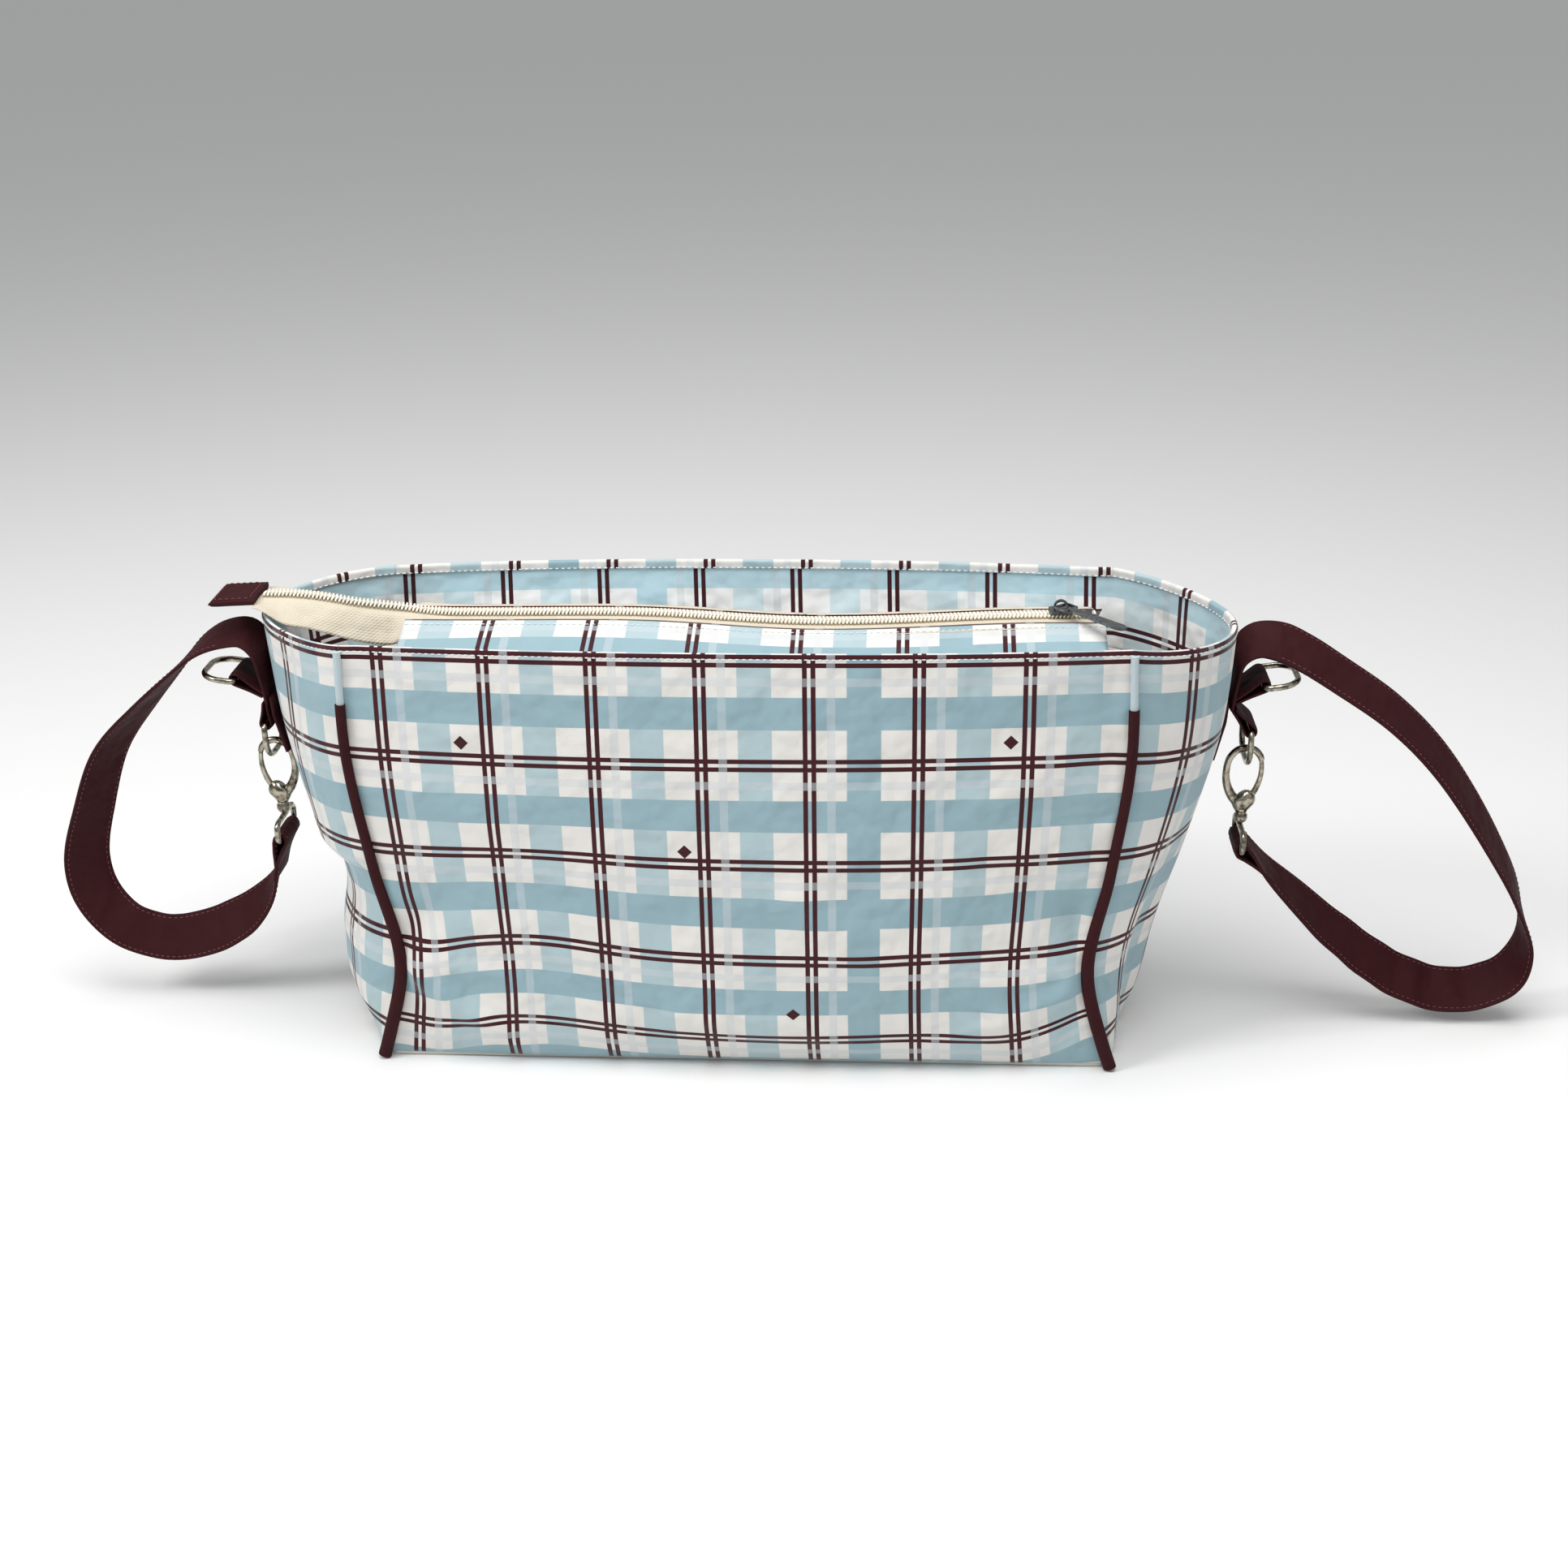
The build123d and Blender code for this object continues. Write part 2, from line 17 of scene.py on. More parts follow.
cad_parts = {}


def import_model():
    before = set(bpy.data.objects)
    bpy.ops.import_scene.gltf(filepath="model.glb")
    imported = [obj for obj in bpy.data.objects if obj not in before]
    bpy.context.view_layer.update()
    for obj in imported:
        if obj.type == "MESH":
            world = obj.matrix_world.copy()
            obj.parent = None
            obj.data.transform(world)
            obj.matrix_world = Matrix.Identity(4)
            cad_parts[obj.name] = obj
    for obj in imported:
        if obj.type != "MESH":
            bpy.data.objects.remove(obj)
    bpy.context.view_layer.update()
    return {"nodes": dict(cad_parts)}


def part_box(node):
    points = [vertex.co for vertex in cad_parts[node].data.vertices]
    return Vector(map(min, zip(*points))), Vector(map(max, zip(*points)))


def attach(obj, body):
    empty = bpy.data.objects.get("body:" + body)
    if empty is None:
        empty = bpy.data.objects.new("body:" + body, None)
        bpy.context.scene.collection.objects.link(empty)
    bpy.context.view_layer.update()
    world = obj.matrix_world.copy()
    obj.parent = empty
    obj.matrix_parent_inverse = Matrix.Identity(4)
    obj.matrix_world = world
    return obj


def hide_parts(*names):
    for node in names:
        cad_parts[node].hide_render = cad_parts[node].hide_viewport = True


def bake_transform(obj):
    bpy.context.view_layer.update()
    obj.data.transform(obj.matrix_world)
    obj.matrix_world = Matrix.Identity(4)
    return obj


LOG = logging.getLogger("pram_organiser")
MM = 0.001
Array = np.ndarray
UPWARDS = np.array([0, 0, 1.0])


# ---- colours and nodes --------------------------------------------------------------------


def linear(hex_colour: str) -> tuple[float, float, float, float]:
    """Turns an sRGB hex colour into linear RGBA.

    Args:
        hex_colour: six hex digits, with or without a leading #.

    Returns:
        Linear red, green, blue and an alpha of 1.
    """
    digits = hex_colour.lstrip("#")
    parts = [int(digits[n : n + 2], 16) / 255 for n in (0, 2, 4)]
    red, green, blue = (
        p / 12.92 if p <= 0.04045 else ((p + 0.055) / 1.055) ** 2.4 for p in parts
    )
    return red, green, blue, 1.0


def add(tree: Any, kind: str, inputs: dict | None = None, **settings: Any) -> Any:
    """Adds one node, with its settings, and links or sets its inputs.

    Args:
        tree: the node tree.
        kind: the node's type, without the ShaderNode prefix.
        inputs: input name or index to a socket to link, or a value to set.
        settings: attributes of the node.

    Returns:
        The new node.
    """
    made = tree.nodes.new("ShaderNode" + kind)
    for name, value in settings.items():
        setattr(made, name, value)
    for key, value in (inputs or {}).items():
        if isinstance(value, bpy.types.NodeSocket):
            tree.links.new(value, made.inputs[key])
        else:
            made.inputs[key].default_value = value
    return made


def maths(tree: Any, operation: str, *values: Any) -> Any:
    """The output of a Math node that combines the given sockets or numbers."""
    return add(tree, "Math", dict(enumerate(values)), operation=operation).outputs[0]


def blend_colours(tree: Any, share: Any, low: Any, high: Any) -> Any:
    """The output of a Mix node between two colours, each a socket or an RGBA value."""
    mixed = add(
        tree, "Mix", {0: share, 6: low, 7: high}, data_type="RGBA", clamp_factor=True
    )
    return mixed.outputs[2]


def ramp(tree: Any, value: Any, low: float, high: float) -> Any:
    """The output of a smooth step from 0 at low to 1 at high."""
    step = add(
        tree,
        "MapRange",
        {0: value, 1: low, 2: high, 3: 0.0, 4: 1.0},
        interpolation_type="SMOOTHSTEP",
    )
    return step.outputs[0]


def new_material(name: str) -> tuple[Any, Any, Any]:
    """Makes an empty node material.

    Returns:
        The material, its node tree and its Principled shader.
    """
    material = bpy.data.materials.new(name)
    material.use_nodes = True
    tree = material.node_tree
    tree.nodes.clear()
    shader = add(tree, "BsdfPrincipled")
    add(tree, "OutputMaterial", {0: shader.outputs[0]})
    return material, tree, shader


# ---- finishes -----------------------------------------------------------------------------

PERIOD = 51.3  # the plaid's repeat both ways, in mm; the cloth's UVs are in mm too
UNPRINTED = 12 * PERIOD  # where on the cloth a piece without printed diamonds is cut
THREAD_RISE = 0.1 * MM  # how far a thread or a plated surface's grain stands up


@dataclass(frozen=True)
class WovenTwill:
    """A fine twill: raised threads on a slant, a soft sheen and a little unevenness.

    The thread spacing is twice the real 0.4 mm, so that it shows.
    """

    thread_mm: float = 0.8
    bump: float = 0.25
    roughness: float = 0.82
    sheen: float = 0.25
    rumple_mm: float = 5.0  # how deep the slow unevenness of the hanging cloth is
    thread_shade: float = 0.035
    patch_shade: float = 0.08

    def dress(self, tree: Any, shader: Any, colour: Any, uv: Any) -> None:
        """Gives the shader its weave, roughness, sheen and thread shading.

        Args:
            tree: the node tree.
            shader: its Principled shader.
            colour: socket or RGBA of the cloth's own colour.
            uv: vector socket that is in mm along the cloth.
        """
        across = add(tree, "SeparateXYZ", {0: uv})
        turn = 2 * math.pi / self.thread_mm
        slant = maths(tree, "ADD", across.outputs[0], across.outputs[1])
        twill = maths(tree, "SINE", maths(tree, "MULTIPLY", slant, turn * 0.71))
        weft = maths(tree, "SINE", maths(tree, "MULTIPLY", across.outputs[1], turn))
        threads = maths(tree, "MULTIPLY_ADD", twill, 0.6, maths(tree, "MULTIPLY", weft, 0.4))
        patches = add(tree, "TexNoise", {"Vector": uv, "Scale": 0.035, "Detail": 3.0})
        shade = maths(tree, "MULTIPLY_ADD", threads, self.thread_shade, 0.955)
        uneven = maths(tree, "MULTIPLY_ADD", patches.outputs[0], self.patch_shade, -0.01)
        level = maths(tree, "ADD", shade, uneven)
        shaded = add(tree, "VectorMath", {0: colour, 3: level}, operation="SCALE")
        tree.links.new(shaded.outputs[0], shader.inputs["Base Color"])
        slack = add(tree, "TexNoise", {"Vector": uv, "Scale": 0.045, "Detail": 2.0})
        deep = {"Height": slack.outputs[0], "Strength": 1.0, "Distance": self.rumple_mm * MM}
        rumpled = add(tree, "Bump", deep)
        woven = {"Height": threads, "Strength": self.bump, "Distance": THREAD_RISE}
        bump = add(tree, "Bump", {**woven, "Normal": rumpled.outputs[0]})
        tree.links.new(bump.outputs[0], shader.inputs["Normal"])
        shader.inputs["Roughness"].default_value = self.roughness
        shader.inputs["Sheen Weight"].default_value = self.sheen
        shader.inputs["Sheen Roughness"].default_value = 0.5
        shader.inputs["Specular IOR Level"].default_value = 0.16


@dataclass(frozen=True)
class PlaidCloth:
    """Printed polyester twill: a blue and white check with burgundy window-pane lines."""

    name: str = "printed_plaid_twill"
    white: str = "#E3E0DB"
    mid_blue: str = "#93AFB8"
    pale_blue: str = "#AEC3C8"
    burgundy: str = "#3D1118"
    veil: str = "#C6CDD2"
    block_half: float = 0.343 * PERIOD
    line_out: float = 2.0
    line_half: float = 1.15
    veil_shift: float = 0.2 * PERIOD
    veil_half: float = 0.039 * PERIOD
    veil_share: float = 0.42
    soft: float = 0.14
    deep_column: float = 1.5 * PERIOD  # one column in six is printed as deep as the rows
    deep_every: float = 6 * PERIOD
    spots: tuple = ((-115.4, 43.0), (145.6, 41.0), (-9.4, 96.0), (41.6, 187.0))
    spot_half: float = 3.6

    def near(self, tree: Any, coordinate: Any, centre: float, period: float = PERIOD) -> Any:
        """Distance in mm from the nearest repeat of centre."""
        moved = maths(tree, "SUBTRACT", coordinate, centre)
        return maths(tree, "PINGPONG", moved, period / 2)

    def within(self, tree: Any, distance: Any, half: float) -> Any:
        """1 where distance is under half, with a soft edge."""
        outside = ramp(tree, distance, half - self.soft, half + self.soft)
        return maths(tree, "SUBTRACT", 1.0, outside)

    def lines(self, tree: Any, coordinate: Any) -> tuple[Any, Any, Any]:
        """Masks of one direction's blue band, burgundy pair and pale veil stripe."""
        distance = self.near(tree, coordinate, 0.0)
        edge = self.soft * 2
        band = ramp(tree, distance, self.block_half - edge, self.block_half + edge)
        off_line = maths(tree, "ABSOLUTE", maths(tree, "SUBTRACT", distance, self.line_out))
        pair = self.within(tree, off_line, self.line_half)
        off_veil = self.near(tree, coordinate, self.veil_shift)
        return band, pair, self.within(tree, off_veil, self.veil_half)

    def spot(self, tree: Any, u: Any, v: Any, at: tuple[float, float]) -> Any:
        """Mask of one small plain diamond printed at a place on the cloth, in mm."""
        du = maths(tree, "ABSOLUTE", maths(tree, "SUBTRACT", u, at[0]))
        dv = maths(tree, "ABSOLUTE", maths(tree, "SUBTRACT", v, at[1]))
        return self.within(tree, maths(tree, "ADD", du, dv), self.spot_half)

    def build(self) -> Any:
        """Makes the material; u grows to the right and v downwards, from a line crossing."""
        material, tree, shader = new_material(self.name)
        uv = add(tree, "UVMap", uv_map="cloth_mm")
        parts = add(tree, "SeparateXYZ", {0: uv.outputs[0]})
        u, v = parts.outputs[0], parts.outputs[1]
        band_u, pair_u, veil_u = self.lines(tree, u)
        band_v, pair_v, veil_v = self.lines(tree, v)
        off_deep = self.near(tree, u, self.deep_column, self.deep_every)
        deep = self.within(tree, off_deep, PERIOD / 2)
        column = blend_colours(tree, deep, linear(self.pale_blue), linear(self.mid_blue))
        colour = blend_colours(tree, band_u, linear(self.white), column)
        colour = blend_colours(tree, band_v, colour, linear(self.mid_blue))
        burgundy = maths(tree, "MAXIMUM", pair_u, pair_v)
        for at in self.spots:
            burgundy = maths(tree, "MAXIMUM", burgundy, self.spot(tree, u, v, at))
        colour = blend_colours(tree, burgundy, colour, linear(self.burgundy))
        veiled = maths(tree, "MAXIMUM", veil_u, veil_v)
        veil = maths(tree, "MULTIPLY", veiled, self.veil_share)
        colour = blend_colours(tree, veil, colour, linear(self.veil))
        WovenTwill().dress(tree, shader, colour, uv.outputs[0])
        return material


@dataclass(frozen=True)
class PlainCloth:
    """Dyed cloth in one colour, with a woven surface and a slight change of shade."""

    name: str
    colour: str
    weave: WovenTwill = WovenTwill()

    def build(self) -> Any:
        """Makes the material on the piece's own UV map in mm."""
        material, tree, shader = new_material(self.name)
        uv = add(tree, "UVMap", uv_map="cloth_mm")
        colour = add(tree, "RGB")
        colour.outputs[0].default_value = linear(self.colour)
        self.weave.dress(tree, shader, colour.outputs[0], uv.outputs[0])
        return material


@dataclass(frozen=True)
class PlatedMetal:
    """Plated die-cast zinc: bright, with faint ripples and worn, darker patches."""

    name: str
    bright: str
    worn: str
    roughness: float = 0.2
    grain: float = 350.0
    bump: float = 0.12

    def build(self) -> Any:
        """Makes the material on Object coordinates."""
        material, tree, shader = new_material(self.name)
        place = add(tree, "TexCoord").outputs["Object"]
        noise = add(tree, "TexNoise", {"Vector": place, "Scale": self.grain, "Detail": 4.0})
        patches = noise.outputs[0]
        worn = ramp(tree, patches, 0.35, 0.75)
        colour = blend_colours(tree, worn, linear(self.bright), linear(self.worn))
        tree.links.new(colour, shader.inputs["Base Color"])
        rough = maths(tree, "MULTIPLY_ADD", patches, 0.18, self.roughness - 0.06)
        tree.links.new(rough, shader.inputs["Roughness"])
        fine = add(tree, "TexNoise", {"Vector": place, "Scale": 1400.0, "Detail": 2.0})
        grain = {"Height": fine.outputs[0], "Strength": self.bump, "Distance": THREAD_RISE}
        bump = add(tree, "Bump", grain)
        tree.links.new(bump.outputs[0], shader.inputs["Normal"])
        shader.inputs["Metallic"].default_value = 1.0
        return material


@dataclass(frozen=True)
class MouldedNylon:
    """Smooth nylon monofilament or board: satin, faintly cloudy."""

    name: str
    colour: str
    roughness: float = 0.42

    def build(self) -> Any:
        """Makes the material on Object coordinates."""
        material, tree, shader = new_material(self.name)
        place = add(tree, "TexCoord").outputs["Object"]
        cloud = add(tree, "TexNoise", {"Vector": place, "Scale": 160.0, "Detail": 3.0})
        deep = tuple(c * 0.86 for c in linear(self.colour)[:3]) + (1.0,)
        colour = blend_colours(tree, cloud.outputs[0], linear(self.colour), deep)
        tree.links.new(colour, shader.inputs["Base Color"])
        shader.inputs["Roughness"].default_value = self.roughness
        shader.inputs["Subsurface Weight"].default_value = 0.05
        return material


class Finish(Enum):
    """The finishes of the bag, each with the record's slot that it belongs to."""

    PLAID = ("plaid_cloth", PlaidCloth())
    # The facing's plaid is the wall plaid in lighter colours: painted light that makes the
    # facing inside the rim look as brightly lit as the outer walls.
    FACING_PLAID = (
        "plaid_cloth", PlaidCloth("printed_plaid_facing_painted_light", "#FAF9F7", "#C2DEE7", "#D9E9ED")
    )
    BURGUNDY = (
        "burgundy_cloth",
        PlainCloth("dyed_burgundy_webbing", "#361014", WovenTwill(1.0, 0.35, 0.7, 0.0)),
    )
    LINING = ("lining_cloth", PlainCloth("lining_taffeta", "#D9D5CC"))
    TAPE = (
        "zip_tape", PlainCloth("zip_tape_twill", "#D6CCB8", WovenTwill(1.4, 0.8, 0.8, 0.1))
    )
    COIL = ("zip_coil", MouldedNylon("nylon_monofilament", "#FFF8E8"))
    THREAD = ("plaid_cloth", MouldedNylon("pale_sewing_thread", "#E8EDF0", 0.6))
    RED_THREAD = ("burgundy_cloth", MouldedNylon("burgundy_sewing_thread", "#6B333A", 0.6))
    BOARD = ("board", MouldedNylon("stiffener_board", "#CFCDC6", 0.6))
    NICKEL = ("nickel", PlatedMetal("nickel_plated_zinc", "#B3AB9A", "#4F493E", 0.16))
    GUNMETAL = (
        "gunmetal",
        PlatedMetal("gunmetal_plated_zinc", "#8B8D8E", "#5E6062", 0.3, 500.0, 0.3),
    )

    def material(self) -> Any:
        """The finish's material, made on first use."""
        found = bpy.data.materials.get(self.value[1].name)
        return found or self.value[1].build()


# ---- meshes from arrays -------------------------------------------------------------------


def mesh_object(
    name: str, points: Array, faces: list | Array, uv: Array | None, finish: Finish
) -> Any:
    """Makes an object from vertex and face arrays.

    Args:
        name: the piece's name.
        points: (n, 3) vertices in metres.
        faces: lists of vertex indices, all of one length or mixed.
        uv: (n, 2) cloth coordinates in mm, or None.
        finish: what the piece is finished in.

    Returns:
        The smooth-shaded object, with its finish's material.
    """
    mesh = bpy.data.meshes.new(name)
    mesh.from_pydata(points.tolist(), [], [list(map(int, f)) for f in faces])
    if uv is not None:
        layer = mesh.uv_layers.new(name="cloth_mm")
        corner = np.empty(len(mesh.loops), np.int32)
        mesh.loops.foreach_get("vertex_index", corner)
        layer.data.foreach_set("uv", uv[corner].astype(np.float32).ravel())
    mesh.polygons.foreach_set("use_smooth", np.ones(len(mesh.polygons), bool))
    mesh.set_sharp_from_angle(angle=math.radians(50))
    mesh.materials.append(finish.material())
    mesh.validate()
    made = bpy.data.objects.new(name, mesh)
    bpy.context.scene.collection.objects.link(made)
    return made


def outwards(made: Any) -> Any:
    """Turns a closed mesh's faces outwards, and returns its object."""
    if signed_volume(made.data) < 0:
        made.data.flip_normals()
    return made


def columns(*values: Array) -> Array:
    """Stacks values side by side on a new last axis, spreading the smaller ones."""
    return np.stack(np.broadcast_arrays(*values), -1)


def reach_along(path: Array) -> Array:
    """The length along a path up to each of its stations."""
    return np.concatenate([[0], np.cumsum(np.linalg.norm(np.diff(path, axis=0), axis=1))])


def grid_faces(rows: int, across: int, closed: bool = False) -> Array:
    """Quads over a grid of vertices, row by row; closed joins the last column to the first."""
    r = np.arange(rows - 1)[:, None]
    c = np.arange(across if closed else across - 1)[None, :]
    right = (c + 1) % across
    low, high = r * across, (r + 1) * across
    return columns(low + c, low + right, high + right, high + c).reshape(-1, 4)


def sheet(
    name: str, points: Array, uv: Array, finish: Finish, thick: float, flip: bool = False
) -> Any:
    """A cloth sheet from a (rows, columns, 3) grid, given its thickness inwards.

    Args:
        name: the piece's name.
        points: grid of places on the outer face.
        uv: grid of cloth coordinates in mm.
        finish: what it is made of.
        thick: thickness in metres, behind the outer face.
        flip: turns the faces' outward side over.

    Returns:
        The object with a Solidify modifier.
    """
    faces = grid_faces(*points.shape[:2])
    if flip:
        faces = faces[:, ::-1]
    made = mesh_object(name, points.reshape(-1, 3), faces, uv.reshape(-1, 2), finish)
    wall = made.modifiers.new("cloth_thickness", "SOLIDIFY")
    wall.thickness = thick
    wall.offset = -1.0
    return made


def tube(
    name: str, path: Array, across: Array, up: Array, profile: Array, finish: Finish
) -> Any:
    """Carries a closed profile along a path and closes both ends.

    Each ring is path + profile_x * across + profile_y * up.

    Args:
        name: the piece's name.
        path: (n, 3) stations.
        across: (n, 3) unit vectors for the profile's first axis.
        up: (n, 3) unit vectors for its second axis.
        profile: (m, 2) or (n, m, 2) closed profile in metres, anticlockwise seen from
            the path's start.
        finish: what it is made of.

    Returns:
        The object.
    """
    if profile.ndim == 2:
        profile = np.broadcast_to(profile, (len(path), *profile.shape))
    rings = (
        path[:, None] + profile[..., :1] * across[:, None] + profile[..., 1:] * up[:, None]
    )
    count, sides = rings.shape[:2]
    along = reach_along(path) / MM
    around = np.linalg.norm(np.diff(profile[0], axis=0, append=profile[0][:1]), axis=1)
    turn = np.concatenate([[0], np.cumsum(around)[:-1]]) / MM
    uv = columns(turn[None, :], along[:, None])
    points = rings.reshape(-1, 3)
    ends = np.array([rings[0].mean(0), rings[-1].mean(0)])
    points = np.concatenate([points, ends])
    uv = np.concatenate([uv.reshape(-1, 2), [[0, along[0]], [0, along[-1]]]])
    faces = grid_faces(count, sides, closed=True)[:, ::-1].tolist()
    ring = np.arange(sides)
    nxt = (ring + 1) % sides
    last = (count - 1) * sides
    faces += np.stack([ring, nxt, np.full(sides, count * sides)], -1)[:, ::-1].tolist()
    faces += np.stack([last + nxt, last + ring, np.full(sides, count * sides + 1)], -1)[
        :, ::-1
    ].tolist()
    return outwards(mesh_object(name, points, faces, uv, finish))


def signed_volume(mesh: Any) -> float:
    """Six times the volume that the faces enclose; negative if they point inwards."""
    mesh.calc_loop_triangles()
    corners = np.empty(len(mesh.loop_triangles) * 3, np.int32)
    mesh.loop_triangles.foreach_get("vertices", corners)
    places = np.empty(len(mesh.vertices) * 3, np.float32)
    mesh.vertices.foreach_get("co", places)
    a, b, c = np.moveaxis(places.reshape(-1, 3)[corners].reshape(-1, 3, 3), 1, 0)
    return float(np.einsum("ij,ij->i", a, np.cross(b, c)).sum())


def round_profile(radius: float, sides: int = 12) -> Array:
    """A circle's points."""
    turn = np.arange(sides) * 2 * math.pi / sides
    return radius * np.stack([np.cos(turn), np.sin(turn)], -1)


def superellipse(sides: int, wide: float, tall: float, flat: float, round_: float) -> Array:
    """A rounded rectangle's points: half sizes times signed powers of cosine and sine.

    Args:
        sides: how many points.
        wide: half its width.
        tall: half its height.
        flat: power of the cosine; the smaller, the squarer.
        round_: power of the sine.
    """
    turn = np.arange(sides) * 2 * math.pi / sides
    cosine, sine = np.cos(turn), np.sin(turn)
    x = wide * np.sign(cosine) * np.abs(cosine) ** flat
    return np.stack([x, tall * np.sign(sine) * np.abs(sine) ** round_], -1)


def frames(path: Array, hint: Array) -> tuple[Array, Array]:
    """Unit vectors square to a path: one near hint, and one square to both.

    Args:
        path: (n, 3) stations.
        hint: (3,) or (n, 3) direction for the first vector.
    """
    run = np.gradient(path, axis=0)
    run /= np.linalg.norm(run, axis=1, keepdims=True)
    hint = np.broadcast_to(hint, path.shape)
    across = hint - (hint * run).sum(1, keepdims=True) * run
    across /= np.linalg.norm(across, axis=1, keepdims=True)
    return across, np.cross(run, across)


def smooth_curve(points: Array, spacing: float) -> Array:
    """A centripetal Catmull-Rom curve through the points, evenly spaced.

    Each span is the blend of its four nearest points; the result is resampled by length.

    Args:
        points: (n, k) values; the first three columns are a place in metres.
        spacing: distance between the new stations in metres.
    """
    points = np.asarray(points, float)
    first, last = 2 * points[0] - points[1], 2 * points[-1] - points[-2]
    p = np.concatenate([[first], points, [last]])
    gaps = np.sqrt(np.linalg.norm(np.diff(p[:, :3], axis=0), axis=1))
    knots = np.concatenate([[0], np.cumsum(gaps)])
    share = np.linspace(0, 1, 24, endpoint=False)[None, :, None]
    t0, t1, t2, t3 = (knots[n : len(knots) - 3 + n, None, None] for n in range(4))
    p0, p1, p2, p3 = (p[n : len(p) - 3 + n, None, :] for n in range(4))
    t = t1 + share * (t2 - t1)
    a1 = (t1 - t) / (t1 - t0) * p0 + (t - t0) / (t1 - t0) * p1
    a2 = (t2 - t) / (t2 - t1) * p1 + (t - t1) / (t2 - t1) * p2
    a3 = (t3 - t) / (t3 - t2) * p2 + (t - t2) / (t3 - t2) * p3
    b1 = (t2 - t) / (t2 - t0) * a1 + (t - t0) / (t2 - t0) * a2
    b2 = (t3 - t) / (t3 - t1) * a2 + (t - t1) / (t3 - t1) * a3
    curve = ((t2 - t) / (t2 - t1) * b1 + (t - t1) / (t2 - t1) * b2).reshape(
        -1, points.shape[1]
    )
    curve = np.concatenate([curve, points[-1:]])
    reach = reach_along(curve[:, :3])
    count = max(int(round(reach[-1] / spacing)) + 1, 4)
    wanted = np.linspace(0, reach[-1], count)
    return np.stack([np.interp(wanted, reach, column) for column in curve.T], -1)


def stitches(
    name: str,
    path: Array,
    out: Array,
    finish: Finish,
    pitch: float = 3.2 * MM,
    share: float = 0.68,
    radius: float = 0.32 * MM,
) -> Any:
    """A row of short raised stitches along a path, as one mesh.

    Each stitch is a low spindle: two tips and two five-sided rings.

    Args:
        name: the row's name.
        path: (n, 3) line on the cloth.
        out: (3,) or (n, 3) direction off the cloth.
        finish: the thread.
        pitch: distance from stitch to stitch.
        share: how much of the pitch is thread.
        radius: the thread's radius.
    """
    reach = reach_along(path)
    count = max(int(reach[-1] / pitch), 1)
    middle = (np.arange(count) + 0.5) * reach[-1] / count
    half = pitch * share / 2
    out = np.broadcast_to(out, path.shape)

    def at(where: Array, values: Array) -> Array:
        """The values at given lengths along the path."""
        return np.stack([np.interp(where, reach, column) for column in values.T], -1)

    start, end = at(middle - half, path), at(middle + half, path)
    lift = at(middle, out)
    lift /= np.linalg.norm(lift, axis=1, keepdims=True)
    run = end - start
    run /= np.linalg.norm(run, axis=1, keepdims=True)
    side = np.cross(run, lift)
    turn = np.arange(5) * 2 * math.pi / 5
    ring = (
        np.cos(turn)[None, :, None] * side[:, None]
        + np.sin(turn)[None, :, None] * lift[:, None]
    ) * radius
    near = (start * 0.75 + end * 0.25 + lift * radius * 0.5)[:, None] + ring
    far = (start * 0.25 + end * 0.75 + lift * radius * 0.5)[:, None] + ring
    points = np.concatenate([start[:, None], near, far, end[:, None]], 1)
    k = np.arange(5)
    n = (k + 1) % 5
    one = (
        [[0, 1 + a, 1 + b] for a, b in zip(n, k)]
        + [[1 + b, 1 + a, 6 + a, 6 + b] for a, b in zip(n, k)]
        + [[11, 6 + b, 6 + a] for a, b in zip(n, k)]
    )
    faces = [[corner + 12 * piece for corner in face] for piece in range(count) for face in one]
    return outwards(mesh_object(name, points.reshape(-1, 3), faces, None, finish))


# ---- the bag's form -----------------------------------------------------------------------


def step(value: Array, low: float, high: float) -> Array:
    """Smooth step from 0 at low to 1 at high."""
    t = np.clip((value - low) / (high - low), 0, 1)
    return t * t * (3 - 2 * t)


# Creases of the front: both ends' x and z and the width in metres, the height in units
# of CREASE_RISE.
CREASES = (
    (-0.168, 0.052, -0.112, 0.010, 2.6, 0.0075),
    (-0.171, 0.060, -0.120, 0.052, 2.0, 0.0090),
    (-0.174, 0.072, -0.128, 0.104, -1.8, 0.0100),
    (0.168, 0.048, 0.100, 0.018, 2.4, 0.0080),
    (0.172, 0.062, 0.118, 0.050, 1.8, 0.0090),
    (0.174, 0.078, 0.122, 0.116, -2.0, 0.0105),
    (-0.030, 0.036, 0.060, 0.020, 1.2, 0.0100),
    (0.030, 0.100, 0.082, 0.052, 1.1, 0.0120),
    (-0.150, 0.150, -0.090, 0.128, 0.9, 0.0120),
    (0.152, 0.160, 0.096, 0.140, 0.9, 0.0120),
)
CREASE_RISE = 2.3
# Where the front's rows ride up: by how many mm, at which x, how wide, and from which
# height to which the swell grows.
SWELLS = (
    (6.2, -0.100, 0.042, 0.165, 0.075), (-3.2, -0.155, 0.017, 0.115, 0.060),
    (12.0, 0.180, 0.021, 0.088, 0.018), (-3.0, 0.132, 0.018, 0.070, 0.020),
    (-1.2, 0.020, 0.050, 0.110, 0.030),
)


